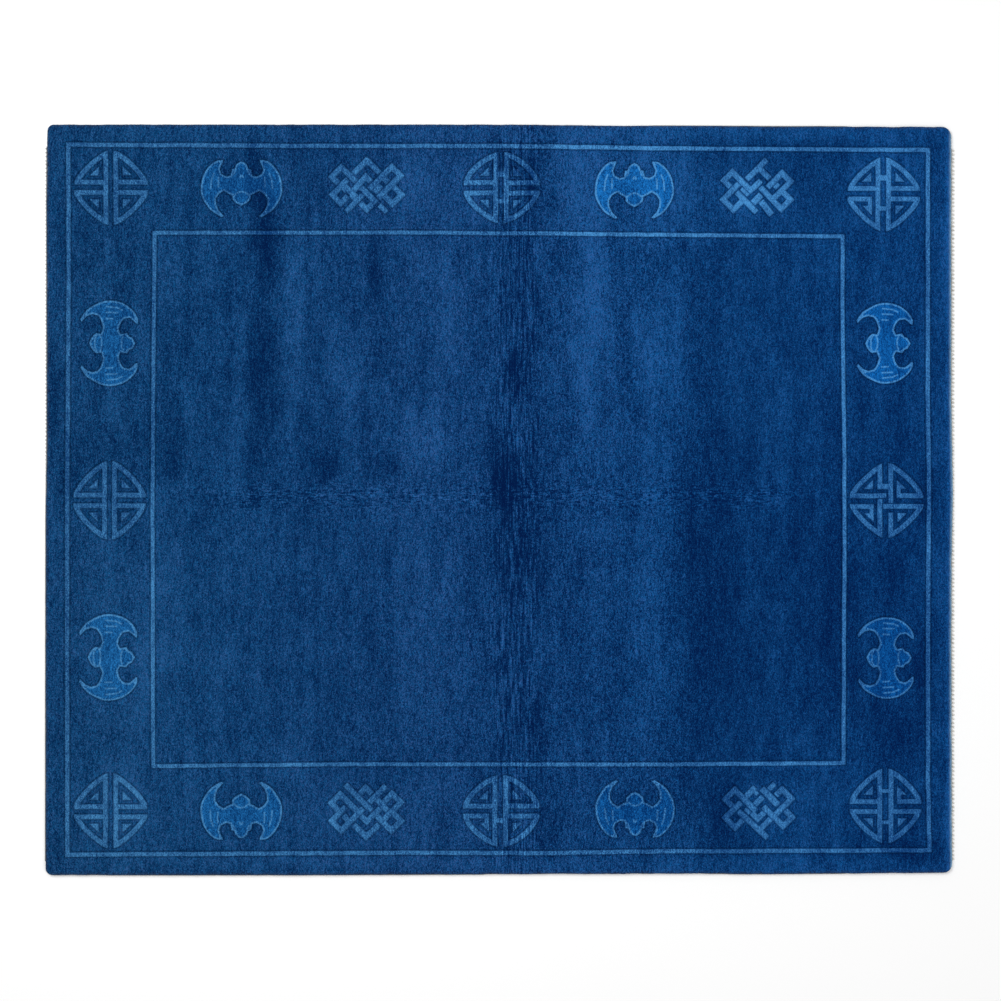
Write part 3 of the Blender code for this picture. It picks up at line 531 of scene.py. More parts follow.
def stroke_outline(points, width):
    """The counter-clockwise outline of a stroke with flat ends and mitred corners."""
    right_side = []
    left_side = []
    for index, here in enumerate(points):
        arriving = (here - points[max(index - 1, 0)]).normalized()
        leaving = (points[min(index + 1, len(points) - 1)] - here).normalized()
        arriving = arriving if index else leaving
        leaving = leaving if index + 1 < len(points) else arriving
        sideways = Vector((arriving.y + leaving.y, -arriving.x - leaving.x)) / (1 + arriving.dot(leaving))
        right_side.append(here + sideways * width / 2)
        left_side.append(here - sideways * width / 2)
    return right_side + left_side[::-1]


def knot_layers(knot):
    layers = []
    for width, places in knot.strokes:
        points = [lattice_point(knot, i, j) for i, j in places]
        layers.append((stroke_outline(points, width), True))
    return layers


# ---- Bats' inner strokes -------------------------------------------------------------------------

# One knot wide, in the standard bat's place; each row is also drawn mirrored.
UPRIGHT_STROKES = (
    ((2, 42), (5, 35)),  # under the head
    ((20, 57), (26, 46)),  # along its cheek
    ((0, -10), (10, -12), (19, -18), (26, -24)),  # the arch over the tail
    ((75, 36), (76, 4)),  # ribs of the wing
    ((90, 49), (98, 28), (101, -2)),
)
SIDEWAYS_STROKES = (
    ((0, 41), (12, 41), (20, 46)),
    ((0, -24), (14, -25), (27, -30)),
    ((0, -46), (12, -47), (22, -42)),
    ((76, 12), (77, -10)),
    ((95, 26), (96, -9)),
    ((103, 43), (111, 26), (114, -8)),
)


def bat_strokes():
    chains = []
    for bat in BATS:
        for places in UPRIGHT_STROKES if bat.half is UPRIGHT_HALF else SIDEWAYS_STROKES:
            for side in (1, -1):
                chains.append([bat_spot(bat, side * x, y) for x, y in places])
    return chains


# ---- Noise and shades ----------------------------------------------------------------------------

DICE = 512  # dice on each side of a noise's lattice


def wander(spots, size_x, size_y, seed):
    """Smooth noise from -1 to 1 in patches about that wide and high."""
    dice = np.random.default_rng(seed).uniform(-1, 1, (DICE, DICE))
    along = spots / (size_x, size_y) + DICE / 2
    cell = np.floor(along).astype(int)
    part = along - cell
    ease = part * part * (3 - 2 * part)
    left, low = (cell % DICE).T
    right, high = ((cell + 1) % DICE).T
    bottom = dice[left, low] * (1 - ease[:, 0]) + dice[right, low] * ease[:, 0]
    top = dice[left, high] * (1 - ease[:, 0]) + dice[right, high] * ease[:, 0]
    return bottom * (1 - ease[:, 1]) + top * ease[:, 1]


def noise_total(spots, rows):
    """Noises added up, each given as (patch size along X, along Y, seed, strength)."""
    return sum(strength * wander(spots, size_x, size_y, seed) for size_x, size_y, seed, strength in rows)


# Painted shade and light: where the nap lies differently and so looks lighter or darker in the light, and
# where the folds sag: (x, y, reach along X, reach along Y, strength), a strength of 1 being a step that
# shows plainly. Most are streaks along the wefts.
SHADES = (
    (-780, 471, 40, 406, -1.0), (-796, 1056, 34, 146, -0.9), (-390, 754, 36, 107, -1.1),
    (-383, 504, 36, 146, -0.4), (-396, 114, 42, 52, -0.8), (-569, 114, 42, 58, -0.8),
    (49, 764, 62, 114, -0.5), (81, 487, 50, 162, -0.7), (22, 35, 45, 75, -2.0), (-10, 162, 50, 130, -0.7),
    (90, 130, 40, 100, -0.5), (65, -162, 100, 162, -1.2), (16, -487, 68, 162, -0.5),
    (81, -747, 68, 114, -1.0), (146, -1024, 56, 130, -0.6), (114, 1040, 50, 146, -0.6),
    (676, 617, 68, 276, -0.2), (660, -260, 80, 585, -0.9), (731, -1024, 60, 146, -0.9),
    (942, -390, 292, 487, -0.65), (1089, -162, 50, 487, -0.5), (-1300, 146, 162, 98, -0.4),
    (-1066, 195, 42, 162, -0.7), (1000, 1060, 120, 120, -0.3), (1267, 260, 114, 130, -0.35),
    (1267, -211, 130, 130, -0.5), (1267, -747, 130, 114, -0.9), (1349, -1137, 98, 46, -1.0),
    (-861, 416, 179, 36, -0.4), (-780, -6, 325, 22, -0.35), (286, 585, 50, 276, 1.6),
    (292, 0, 50, 325, 0.4), (276, 1040, 95, 162, 1.4), (513, 504, 68, 162, 1.2), (504, 179, 50, 162, 0.3),
    (481, -390, 42, 422, 0.6), (-244, 764, 68, 114, 0.7), (-244, 211, 88, 98, 0.6),
    (-260, -390, 68, 455, 0.5), (-179, 487, 36, 195, 0.5), (-666, 650, 30, 227, 0.9),
    (-504, 422, 62, 130, 0.6), (-861, -325, 75, 552, 0.3), (-1089, -455, 84, 422, 0.7),
    (-1284, -617, 162, 552, 0.6), (-877, -1024, 585, 162, 0.5), (-1089, 764, 42, 130, 0.6),
    (-276, 1056, 62, 146, 0.5), (536, 1040, 130, 162, 1.1), (1461, 850, 26, 330, 0.9),
    (1461, -940, 22, 230, 0.6), (950, 1195, 480, 24, 0.6), (900, -1190, 420, 26, 0.6),
    (1381, 5, 40, 90, -1.0), (1385, -480, 45, 150, -0.9), (-1446, 363, 30, 110, -0.8),
    (-942, 623, 70, 70, -0.4), (-731, 445, 30, 160, -0.6), (390, -190, 130, 40, -0.4),
    (-406, 1046, 90, 50, 0.4), (845, 997, 110, 85, 0.9), (370, -560, 60, 220, -0.4),
    (-390, 0, 60, 200, -0.2), (-910, 560, 60, 200, -0.3), (-130, -560, 70, 200, 0.3),
    (585, 860, 160, 30, 0.5), (325, 640, 45, 140, 0.3), (-1190, -110, 50, 60, -0.3),
    (-1060, 290, 60, 90, 0.3), (1250, 1130, 120, 70, 0.3), (845, -1000, 100, 80, 0.6),
    (1200, 1020, 60, 90, 0.5), (1200, -1100, 80, 60, -0.3), (1040, -1010, 70, 100, 0.5),
    (1180, -110, 50, 110, 0.5), (930, -760, 80, 110, 0.4), (1349, -1040, 40, 70, -0.5),
    (40, 380, 40, 110, -0.6), (-765, 850, 50, 150, -1.3), (-100, 1000, 45, 90, 0.4),
    (195, 880, 35, 40, 0.5), (357, 590, 25, 180, 0.5), (-975, -530, 230, 60, 0.3),
    (-683, -870, 60, 80, 0.4), (-260, -1000, 60, 110, 0.5), (-450, -1180, 900, 20, 0.7),
    (0, 1190, 1300, 22, 0.4), (1118, -50, 12, 420, 0.8), (150, 100, 60, 250, -0.4),
    (260, -195, 45, 120, -0.5), (-195, 960, 120, 110, 0.4), (260, 810, 60, 70, 0.3),
    (65, 1060, 40, 110, -0.6), (1250, 1060, 150, 90, 0.4), (940, -560, 80, 90, 0.4),
    (940, -861, 180, 12, 0.8),
)
# Rows of the same kind for motifs whose light yarn came out paler or duller, while the ground between
# it did not.
MOTIF_SHADES = (
    (845, 997, 120, 100, 0.7), (1118, 0, 20, 840, 0.9), (1396, 0, 20, 1100, 0.2),
    (600, 861, 540, 16, 0.5), (560, -861, 560, 16, 0.4), (700, 1142, 700, 16, 0.6),
    (-1410, 0, 20, 1100, -0.3), (1251, 509, 110, 150, 0.7), (1254, -514, 110, 150, -0.3),
    (439, -1005, 150, 110, -0.6), (-840, 1012, 150, 110, -0.3), (-1270, 508, 150, 150, -0.3),
    (-1273, -512, 150, 150, -0.3), (-841, -1011, 150, 110, -0.2), (1257, -2, 130, 130, 0.35),
    (1248, 993, 130, 130, 0.1), (-1268, -2, 130, 130, -0.3), (-1266, -1011, 130, 130, -0.3),
    (4, -1012, 130, 130, -0.3), (-410, -1010, 120, 100, -0.15),
)
SHADE_WAVER = 16.0  # how far a shade's edge strays
# Painted shade on the ground beside a bat's head and tail, where the shears went deep, in the standard
# bat's place.
SHADED_HOLLOWS = ((46, 62, 20, 20), (52, -38, 20, 30))
HOLLOW_SHADE = -0.42
# Abrash, the small changes of dye, as noises: (patch size along X, along Y, seed, strength).
ABRASH = ((42, 95, 3, 0.3), (24, 50, 4, 0.2), (26, 280, 5, 0.35))


def shade_total(spots, shades):
    """The shades' strengths at each spot, added up. Each one fades out at its reach."""
    total = np.zeros(len(spots))
    for x, y, reach_x, reach_y, strength in shades:
        share = np.abs((spots - (x, y)) / (reach_x, reach_y)) ** 3
        total += strength * np.exp(-share.sum(axis=1))
    return total


def tone_of(spots, is_light):
    """How light the nap looks at each spot in steps of SHADES, painted shade and light included."""
    waver = np.stack([wander(spots, 45, 70, 1), wander(spots, 45, 70, 2)], axis=1)
    strayed = spots + SHADE_WAVER * waver
    tone = shade_total(strayed, SHADES) + np.where(is_light, shade_total(spots, MOTIF_SHADES), 0.0)
    for bat in BATS:
        for x, y, reach_x, reach_y in SHADED_HOLLOWS:
            for side in (1, -1):
                middle = bat_spot(bat, side * x, y)
                reach = (reach_x, reach_y) if bat.turns % 2 == 0 else (reach_y, reach_x)
                tone += shade_total(spots, [(*middle, *reach, HOLLOW_SHADE)])
    return tone + noise_total(spots, ABRASH)


def sag(spots):
    """How far the face of the pile dips in the two folds."""
    dip = np.zeros(len(spots))
    for place, fold in zip(spots.T, (FOLD_ACROSS, FOLD_ALONG)):
        share = np.minimum(np.abs(place - fold.place) / fold.reach, 1)
        dip += fold.depth * (1 + np.cos(pi * share)) / 2
    return dip


# ---- The pile ------------------------------------------------------------------------------------

# The carved groove beside every light edge, as (distance to the ground's side, depth).
GROOVE = ((-2.6, 0.0), (-1.0, 0.4), (0.0, 1.2), (1.2, 2.6), (2.3, 3.1), (3.5, 2.2), (5.0, 0.8), (7.0, 0.0))
GAP_REACH = 12.0  # distances to an edge are worked out up to here
ROUNDEL_FLARE = 0.8  # how far the light yarn's tips spread past the carved edge of a roundel
KNOT_FLARE = 2.0  # and of a knot, whose bars are short
RING_STEP = 6.5  # longest straight piece of a ring beside an edge
FIELD_STEP = 7.2  # between the field's own points
FIELD_DRIFT = 0.32  # how far at most each of them is out of its place in the grid, in steps
ROOM_OUTSIDE = 2.0  # kept free of those points on the ground's side of a groove or stroke
ROOM_INSIDE = 2.5  # and on the light side of a groove
STROKE_HALF = 2.6  # half the width of a bat's inner stroke
STROKE_RINGS = (STROKE_HALF, 2 * STROKE_HALF)

# The pile's rim from its foot up: inset from the edge, height, and share of LEAN and SPLAY.
RimRing = namedtuple("RimRing", "inset height lean")
RIM = (
    RimRing(0.6, 2.2, 1.0),
    RimRing(0.2, 3.4, 0.9),
    RimRing(0.0, 4.6, 0.6),
    RimRing(0.0, 6.0, 0.15),
    RimRing(0.0, 7.6, 0.0),
    RimRing(0.5, 9.4, 0.0),
    RimRing(1.5, 11.2, 0.0),
    RimRing(3.2, 12.7, 0.0),
    RimRing(6.0, 13.6, 0.0),
    RimRing(10.0, 13.95, 0.0),
    RimRing(15.0, PILE_TOP, 0.0),
)
RIM_STEP = 6.0  # longest straight piece along the rim
LEAN = 8.0  # the nap leans to the left and hangs this far over its foot at the left end
SPLAY = 2.4  # how far the foot of the last tufts stands out at the right end
FRAY = 0.45  # how unevenly the yarn ends stand at the rim
CORNER_STEPS = 6
# The unevenness of the clipped face, as noises; what the fold adds to it; and what single tufts add.
RELIEF = ((70, 110, 11, 0.3), (16, 22, 12, 0.18))
FOLD_RELIEF = ((9, 80, 13, 0.5),)
TUFT_RELIEF = 0.1
EDGE_WAVER = 0.8  # how far a knotted edge runs out of true
TILE_COLUMNS = 4
TILE_ROWS = 3


def rim_ring(outline, inset, lean=0.0):
    """The outline moved inwards, with lean further in on the left and out on the right."""
    ring = []
    for here, sideways, _, _ in bends(outline):
        outward = sideways.normalized()
        leant = LEAN * max(-outward.x, 0.0) - SPLAY * max(outward.x, 0.0)
        ring.append(here - outward * (inset + lean * leant))
    return ring


def relief_of(spots):
    """The small unevenness of the clipped face, with ripples beside the fold."""
    ripple = np.exp(-(((spots[:, 0] - FOLD_ACROSS.place) / FOLD_ACROSS.reach) ** 4))
    relief = noise_total(spots, RELIEF) + ripple * noise_total(spots, FOLD_RELIEF)
    return relief + TUFT_RELIEF * np.random.default_rng(14).uniform(-1, 1, len(spots))


def from_sides(spots):
    """From the pile's edge to each spot: from the nearest side, and from the right side."""
    x, y = spots.T
    right = np.interp(y, *zip(*PILE_EDGE.right)) - x
    left = x - np.interp(y, *zip(*PILE_EDGE.left))
    top = np.interp(x, *zip(*PILE_EDGE.top)) - y
    bottom = y - np.interp(x, *zip(*PILE_EDGE.bottom))
    return np.minimum.reduce([right, left, top, bottom]), right


def unsteady(spots):
    """Spots moved a little, because no knotted edge runs quite true."""
    drift = np.stack([wander(spots, 55, 40, 21), wander(spots, 40, 55, 22)], axis=1)
    return spots + EDGE_WAVER * drift


def as_array(points):
    return np.array([tuple(point) for point in points], float)


class Plan:
    """Points and edges in plan, for one triangulation."""

    def __init__(self):
        self.points = []
        self.edges = []

    def add(self, chain, is_loop=True):
        first = len(self.points)
        count = len(chain)
        self.points += chain
        last = count if is_loop else count - 1
        self.edges += [(first + index, first + (index + 1) % count) for index in range(last)]

    def add_edges(self, motifs, spreads, longest):
        """The edges of the motifs' light pile, once for each amount that they are spread by."""
        for spread in spreads:
            for loops in edges_at(motifs, spread):
                for loop in loops:
                    self.add(split_fine(loop, longest))

    def triangles(self):
        corners, _, faces, sources, _, _ = delaunay_2d_cdt(self.points, self.edges, [], 1, MERGE)
        output_of = {source: index for index, origin in enumerate(sources) for source in origin}
        return as_array(corners), np.array(faces), output_of


def edges_at(motifs, spread):
    return [contours_of(layers, spread) for layers in motifs]


def design():
    """All motifs, then the edges of the plain light ones and the edges of the bats."""
    light = [line_layers(OUTER_LINE, OUTER_LINE_WIDTH), line_layers(INNER_LINE, INNER_LINE_WIDTH)]
    light += [roundel_layers(roundel) for roundel in ROUNDELS]
    light += [knot_layers(knot) for knot in KNOTS]
    bats = [bat_layers(bat) for bat in BATS]
    return light + bats, edges_at(light, 0.0), edges_at(bats, 0.0)


def yarn_gap(spots, light_edges):
    """From each spot to the light yarn, whose tips flare past the carved edge."""
    line_flares = [0.0, 0.0]
    flares = line_flares + [ROUNDEL_FLARE] * len(ROUNDELS) + [KNOT_FLARE] * len(KNOTS)
    gaps = [signed_gap(spots, [loops], GAP_REACH) - flare for loops, flare in zip(light_edges, flares)]
    return np.min(gaps, axis=0)


def stroke_gap(spots, strokes):
    """From each spot to the middle of the nearest stroke, at most GAP_REACH."""
    gaps = np.full(len(spots), GAP_REACH)
    for chain in strokes:
        corners = as_array(chain)
        low = corners.min(axis=0) - GAP_REACH
        high = corners.max(axis=0) + GAP_REACH
        near = np.flatnonzero(((spots > low) & (spots < high)).all(axis=1))
        for start, end in zip(corners, corners[1:]):
            gaps[near] = np.minimum(gaps[near], segment_gap(spots[near], start, end))
    return gaps


def field_spots(step, seed):
    """An uneven grid over the whole rug."""
    dice = np.random.default_rng(seed)
    columns = np.arange(-HALF_LENGTH, HALF_LENGTH, step)
    rows = np.arange(-HALF_LENGTH, HALF_LENGTH, step)
    grid = np.stack(np.meshgrid(columns, rows), axis=-1).reshape(-1, 2)
    return grid + dice.uniform(-FIELD_DRIFT, FIELD_DRIFT, grid.shape) * step


def ring_numbers(output_of, count, first, rings):
    """The points' numbers on the plan's own edge and then on each ring beyond it, ring by ring."""
    inner = np.array([output_of[index] for index in range(count)])
    return [inner] + [first + number * count + np.arange(count) for number in range(rings)]


def walls_between(lower, upper):
    """The triangles that join a counter-clockwise ring to the one above it, facing outwards."""
    beside = np.roll(lower, -1)
    above = np.roll(upper, -1)
    return np.stack([lower, above, upper], axis=1), np.stack([lower, beside, above], axis=1)


def pile_plan(innermost, motifs, edges, strokes):
    """The clipped face in plan: rings along each groove and inner stroke, and the field's own points."""
    plan = Plan()
    plan.add(innermost)
    plan.add_edges(motifs, [spread for spread, _ in GROOVE], RING_STEP)
    for chain in strokes:
        plan.add(split_fine(chain, RING_STEP, is_loop=False), is_loop=False)
        for half in STROKE_RINGS:
            plan.add(split_fine(stroke_outline(chain, 2 * half), RING_STEP))
    field = field_spots(FIELD_STEP, 31)
    room = -signed_gap(field, [[innermost]], 2 * FIELD_STEP)
    field = field[room > 0.5 * FIELD_STEP]
    gap = signed_gap(field, edges, GAP_REACH)
    is_free = (gap > GROOVE[-1][0] + ROOM_OUTSIDE) | (gap < GROOVE[0][0] - ROOM_INSIDE)
    is_free &= stroke_gap(field, strokes) > STROKE_RINGS[-1] + ROOM_OUTSIDE
    plan.points += [Vector(spot) for spot in field[is_free]]
    return plan


def pile_rim(outline):
    """The rim's rings from the top one down: their places, their heights and the places unfolded flat."""
    rings = []
    lifts = []
    unfolded = []
    reach = 0.0
    for lower, upper in zip(RIM[-2::-1], RIM[:0:-1]):
        reach += np.hypot(upper.inset - lower.inset, upper.height - lower.height)
        rings.append(as_array(rim_ring(outline, lower.inset, lower.lean)))
        lifts.append(np.full(len(outline), lower.height))
        unfolded.append(as_array(rim_ring(outline, RIM[-1].inset - reach)))
    spots = np.concatenate(rings)
    heights = np.concatenate(lifts)
    likeness = (heights / PILE_TOP) ** 4  # to the face, in its unevenness
    heights += likeness * (relief_of(spots) - sag(spots))
    dice = np.random.default_rng(32)
    spots += FRAY * dice.uniform(-1, 1, spots.shape)
    heights += 0.5 * FRAY * dice.uniform(-1, 1, len(heights))
    return spots, heights, np.concatenate(unfolded)


def pile_surface():
    """The whole face and rim: points, triangles, the plan unfolded at the rim, and the wool's fields."""
    motifs, light_edges, bat_edges = design()
    strokes = bat_strokes()
    outline = split_fine(quad_loop(PILE_EDGE, PILE_CORNERS), RIM_STEP)
    plan = pile_plan(rim_ring(outline, RIM[-1].inset), motifs, light_edges + bat_edges, strokes)
    spots, faces, output_of = plan.triangles()
    groove = np.interp(signed_gap(spots, light_edges + bat_edges, GAP_REACH), *zip(*GROOVE))
    heights = PILE_TOP - sag(spots) - groove + relief_of(spots)

    rim_spots, rim_heights, unfolded = pile_rim(outline)
    numbers = ring_numbers(output_of, len(outline), len(spots), len(RIM) - 1)
    walls = [wall for upper, lower in zip(numbers, numbers[1:]) for wall in walls_between(lower, upper)]
    all_spots = np.concatenate([spots, rim_spots])
    points = np.column_stack([unsteady(all_spots), np.concatenate([heights, rim_heights])])
    edge, right = from_sides(all_spots)
    on_rim = np.full(len(rim_spots), GAP_REACH)
    fields = {
        "edge": edge,
        "right": right,
        "light": np.concatenate([yarn_gap(spots, light_edges), on_rim]),
        "bat": np.concatenate([signed_gap(spots, bat_edges, GAP_REACH), on_rim]),
        "stroke": np.concatenate([stroke_gap(spots, strokes), on_rim]),
    }
    fields["tone"] = tone_of(all_spots, np.minimum(fields["light"], fields["bat"]) < 0)
    return points, np.concatenate([faces] + walls), np.concatenate([spots, unfolded]), fields


def normals_of(points, faces):
    """A smooth normal for each point."""
    corners = points[faces]
    facing = np.cross(corners[:, 1] - corners[:, 0], corners[:, 2] - corners[:, 0])
    total = np.stack(
        [np.bincount(faces.ravel(), np.repeat(facing[:, axis], 3), len(points)) for axis in range(3)], axis=1
    )
    return total / np.linalg.norm(total, axis=1)[:, None]


MAP_NAME = "OFBake"
MAP_MARGIN = 1.5  # kept free round a tile's map


def mesh_object(name, points, faces, fields, material, normals=None, flat_map=None):
    """A piece from arrays in millimetres, with its fields as point attributes."""
    data = bpy.data.meshes.new(name)
    data.from_pydata((points * METRES).tolist(), [], faces.tolist())
    for field, values in fields.items():
        data.attributes.new(field, "FLOAT", "POINT").data.foreach_set("value", values.astype(np.float32))
    if flat_map is not None:
        corners = np.zeros(len(data.loops), int)
        data.loops.foreach_get("vertex_index", corners)
        low = flat_map.min(axis=0) - MAP_MARGIN
        size = flat_map.max(axis=0) + MAP_MARGIN - low
        placed = ((flat_map - low) / size)[corners]
        data.uv_layers.new(name=MAP_NAME).uv.foreach_set("vector", placed.astype(np.float32).ravel())
    data.polygons.foreach_set("use_smooth", np.ones(len(data.polygons), bool))
    if normals is not None:
        data.normals_split_custom_set_from_vertices(normals.tolist())
    data.materials.append(material)
    piece = bpy.data.objects.new(name, data)
    bpy.context.scene.collection.objects.link(piece)
    return piece


def pile_tiles(material):
    points, faces, unfolded, fields = pile_surface()
    normals = normals_of(points, faces)
    share = (points[faces].mean(axis=1)[:, :2] / (HALF_LENGTH, PILE_EDGE.top[0][1]) + 1) / 2
    most = (TILE_COLUMNS - 1, TILE_ROWS - 1)
    column, row = np.clip(share * (TILE_COLUMNS, TILE_ROWS), 0, most).astype(int).T
    tiles = []
    for number in range(TILE_COLUMNS * TILE_ROWS):
        mine = faces[column + TILE_COLUMNS * row == number]
        used, local = np.unique(mine, return_inverse=True)
        own = {field: values[used] for field, values in fields.items()}
        shape = (points[used], local.reshape(-1, 3), own, material, normals[used], unfolded[used])
        tiles.append(mesh_object(f"pile_{number + 1:02d}", *shape))
    return tiles


# ---- The foundation ------------------------------------------------------------------------------

FOUNDATION_TOP = 2.4
FOUNDATION_INSET = 1.0  # the pile hides its edge, except where a selvedge shows
# How far each selvedge shows beyond the pile: (place along it, amount).
SELVEDGE_TOP = ((430, 0), (500, 4.2), (1120, 4.2), (1170, 0))
SELVEDGE_BOTTOM = ((-1340, 0), (-1270, 3.6), (-60, 3.6), (0, 0), (640, 0), (680, 3.6), (1110, 3.6), (1150, 0))
# The foundation's edge from the floor up: (inset, height).
FOUNDATION_RIM = ((1.0, 0.0), (0.2, 0.5), (0.0, 1.3), (0.4, 2.1), (1.4, FOUNDATION_TOP))
BACK_STEP = 60.0  # between the back's own points
BACK_RING_STEP = 9.0
BACK_RINGS = (-0.8, 0.8)  # spreads of the light edges, on either side of a change of colour
BACK_ROOM = 3.0  # kept free of own points beside an edge


def foundation_edge():
    """The widest outline of the foundation, out beyond the pile where a selvedge shows."""
    edge = []
    for spot in rim_ring(split_fine(quad_loop(PILE_EDGE, PILE_CORNERS), 2 * RIM_STEP), FOUNDATION_INSET, 1.0):
        is_side = abs(spot.y) > PILE_EDGE.top[-1][1] - PILE_CORNERS[0]
        table = SELVEDGE_TOP if spot.y > 0 else SELVEDGE_BOTTOM
        shown = across(table, spot.x) if is_side else 0.0
        edge.append(spot + Vector((0, copysign(shown, spot.y))))
    return edge


def foundation(knot_backs, cotton):
    edge = foundation_edge()
    count = len(edge)
    foot = rim_ring(edge, FOUNDATION_RIM[0][0])
    motifs, light_edges, bat_edges = design()
    plan = Plan()
    plan.add(foot)
    plan.add_edges(motifs, BACK_RINGS, BACK_RING_STEP)
    field = field_spots(BACK_STEP, 33)
    field = field[-signed_gap(field, [[foot]], BACK_STEP) > 0.3 * BACK_STEP]
    field = field[np.abs(signed_gap(field, light_edges + bat_edges, GAP_REACH)) > BACK_ROOM]
    plan.points += [Vector(spot) for spot in field]
    spots, faces, output_of = plan.triangles()

    rings = [as_array(rim_ring(edge, inset)) for inset, _ in FOUNDATION_RIM[1:]]
    lifts = [np.full(count, height) for _, height in FOUNDATION_RIM[1:]]
    numbers = ring_numbers(output_of, count, len(spots), len(rings))
    walls = [wall for lower, upper in zip(numbers, numbers[1:]) for wall in walls_between(lower, upper)]
    lid = Plan()
    lid.add([Vector(spot) for spot in rings[-1]])
    lid_spots, lid_faces, lid_output = lid.triangles()
    lid_number = np.zeros(len(lid_spots), int)
    for source, output in lid_output.items():
        lid_number[output] = numbers[-1][source]
    all_spots = np.concatenate([spots] + rings)
    points = np.column_stack([all_spots, np.concatenate([np.zeros(len(spots))] + lifts)])
    fields = {
        "light": signed_gap(all_spots, light_edges, GAP_REACH),
        "bat": signed_gap(all_spots, bat_edges, GAP_REACH),
    }
    all_faces = np.concatenate([faces[:, ::-1]] + walls + [lid_number[lid_faces]])
    piece = mesh_object("foundation", points, all_faces, fields, knot_backs)
    piece.data.materials.append(cotton)
    is_cotton = np.arange(len(all_faces)) >= len(faces)
    piece.data.polygons.foreach_set("material_index", is_cotton.astype(np.int32))
    return piece


# ---- Knotted ends --------------------------------------------------------------------------------

END_PITCH = 13.0  # from knot to knot
RIGHT_END_SPAN = (-1175.0, 1143.5)
LEFT_END_SPAN = (-1175.0, 1150.0)
WARPS_IN_KNOT = 4
WARP_PITCH = 3.2
WARP_RADIUS = 0.7
WEFT_RADIUS = 0.8
WEFT_PLACES = (0.2, 1.7, 3.2)  # from the pile's edge
WEAVE_HEIGHT = 1.6
WEAVE_SWING = 0.35
KNOT_RADII = (2.7, 3.3, 2.2)
KNOT_INSETS = {1: 3.6, -1: 1.7}  # from the right and the left end to the middle of a knot
KNOT_HEIGHTS = {1: 2.5, -1: 1.9}
KNOT_DRIFT = 0.9  # how far at most a knot stands out of its place in the row
WARP_ROOT = 2.0  # how far under the pile's edge a warp starts
WARP_BEND = 2.5  # and how far past it the warp turns towards its knot
TAIL_LENGTH = 3.2
TAIL_SPREAD = 1.7
TAIL_RADII = (0.9, 0.45)
TUBE_SIDES = 5
BALL_RINGS = 6
BALL_SIDES = 8


class Pieces:
    """Points and faces of many small bodies, to be one mesh."""

    def __init__(self):
        self.points = []
        self.faces = []

    def add_rings(self, rings):
        """A body through rings with the same number of points, closed by a fan at each end."""
        first = len(self.points)
        sides = len(rings[0])
        for ring in rings:
            self.points += ring
        for level in range(len(rings) - 1):
            for side in range(sides):
                low = first + level * sides + side
                beside = first + level * sides + (side + 1) % sides
                self.faces.append((low, beside, beside + sides))
                self.faces.append((low, beside + sides, low + sides))
        last = first + (len(rings) - 1) * sides
        for side in range(1, sides - 1):
            self.faces.append((first, first + side + 1, first + side))
            self.faces.append((last, last + side, last + side + 1))

    def add_tube(self, path, radii):
        """A round strand along a path, with one radius for each of its points."""
        rings = []
        for index, (here, radius) in enumerate(zip(path, radii)):
            run = path[min(index + 1, len(path) - 1)] - path[max(index - 1, 0)]
            side = run.cross(Vector((0, 0, 1))).normalized()
            up = side.cross(run).normalized()
            turn = [2 * pi * step / TUBE_SIDES for step in range(TUBE_SIDES)]
            rings.append([here + radius * (cos(angle) * side + sin(angle) * up) for angle in turn])
        self.add_rings(rings)

    def add_ball(self, middle, radii, tilt):
        """A squashed ball, turned about the upright axis."""
        spin = Matrix.Rotation(tilt, 3, "Z")
        rings = []
        for level in range(BALL_RINGS):
            rise = pi * (level + 0.5) / BALL_RINGS
            turn = [2 * pi * step / BALL_SIDES for step in range(BALL_SIDES)]
            ring = [(cos(angle) * sin(rise), sin(angle) * sin(rise), -cos(rise)) for angle in turn]
            rings.append([middle + spin @ Vector([r * c for r, c in zip(radii, spot)]) for spot in ring])
        self.add_rings(rings)

    def to_object(self, name, material):
        return mesh_object(name, as_array(self.points), np.array(self.faces), {}, material)


def add_warps(pieces, inner, y, outward, knot):
    """The warp ends that run from under the pile's edge into one knot."""
    for warp in range(WARPS_IN_KNOT):
        aside = (warp - (WARPS_IN_KNOT - 1) / 2) * WARP_PITCH
        root = Vector((inner - outward * WARP_ROOT, y + aside, WEAVE_HEIGHT))
        bend = Vector((inner + outward * WARP_BEND, y + aside * 0.9, WEAVE_HEIGHT))
        near = knot + Vector((-outward * KNOT_RADII[0] * 0.5, aside * 0.25, 0))
        pieces.add_tube([root, bend, near], (WARP_RADIUS, WARP_RADIUS, WARP_RADIUS * 0.9))


def add_knot(pieces, dice, outward, knot):
    """A knot and the three frayed strands of its tail."""
    height = KNOT_HEIGHTS[outward]
    swell = dice.uniform(0.85, 1.12)
    radii = (KNOT_RADII[0] * swell, KNOT_RADII[1] * swell, min(KNOT_RADII[2] * swell, height - 0.1))
    pieces.add_ball(knot, radii, dice.uniform(-0.5, 0.5))
    for strand in (-1, 0, 1):
        reach = TAIL_LENGTH * dice.uniform(0.9, 1.25)
        aside = strand * TAIL_SPREAD + dice.uniform(-0.7, 0.7)
        tip = knot + Vector((outward * reach, aside, -0.4 * height))
        pieces.add_tube([knot, tip], TAIL_RADII)


def add_wefts(pieces, side_table, span, outward):
    """The last wefts, woven over and under the warps beside the pile."""
    start, end = span
    steps = round((end - start) / WARP_PITCH)
    for number, place in enumerate(WEFT_PLACES):
        path = []
        for step in range(steps + 1):
            y = start + (end - start) * step / steps
            swing = WEAVE_SWING * (1 if (step + number) % 2 else -1)
            path.append(Vector((across(side_table, y) + outward * place, y, WEAVE_HEIGHT + swing)))
        pieces.add_tube(path, [WEFT_RADIUS] * len(path))


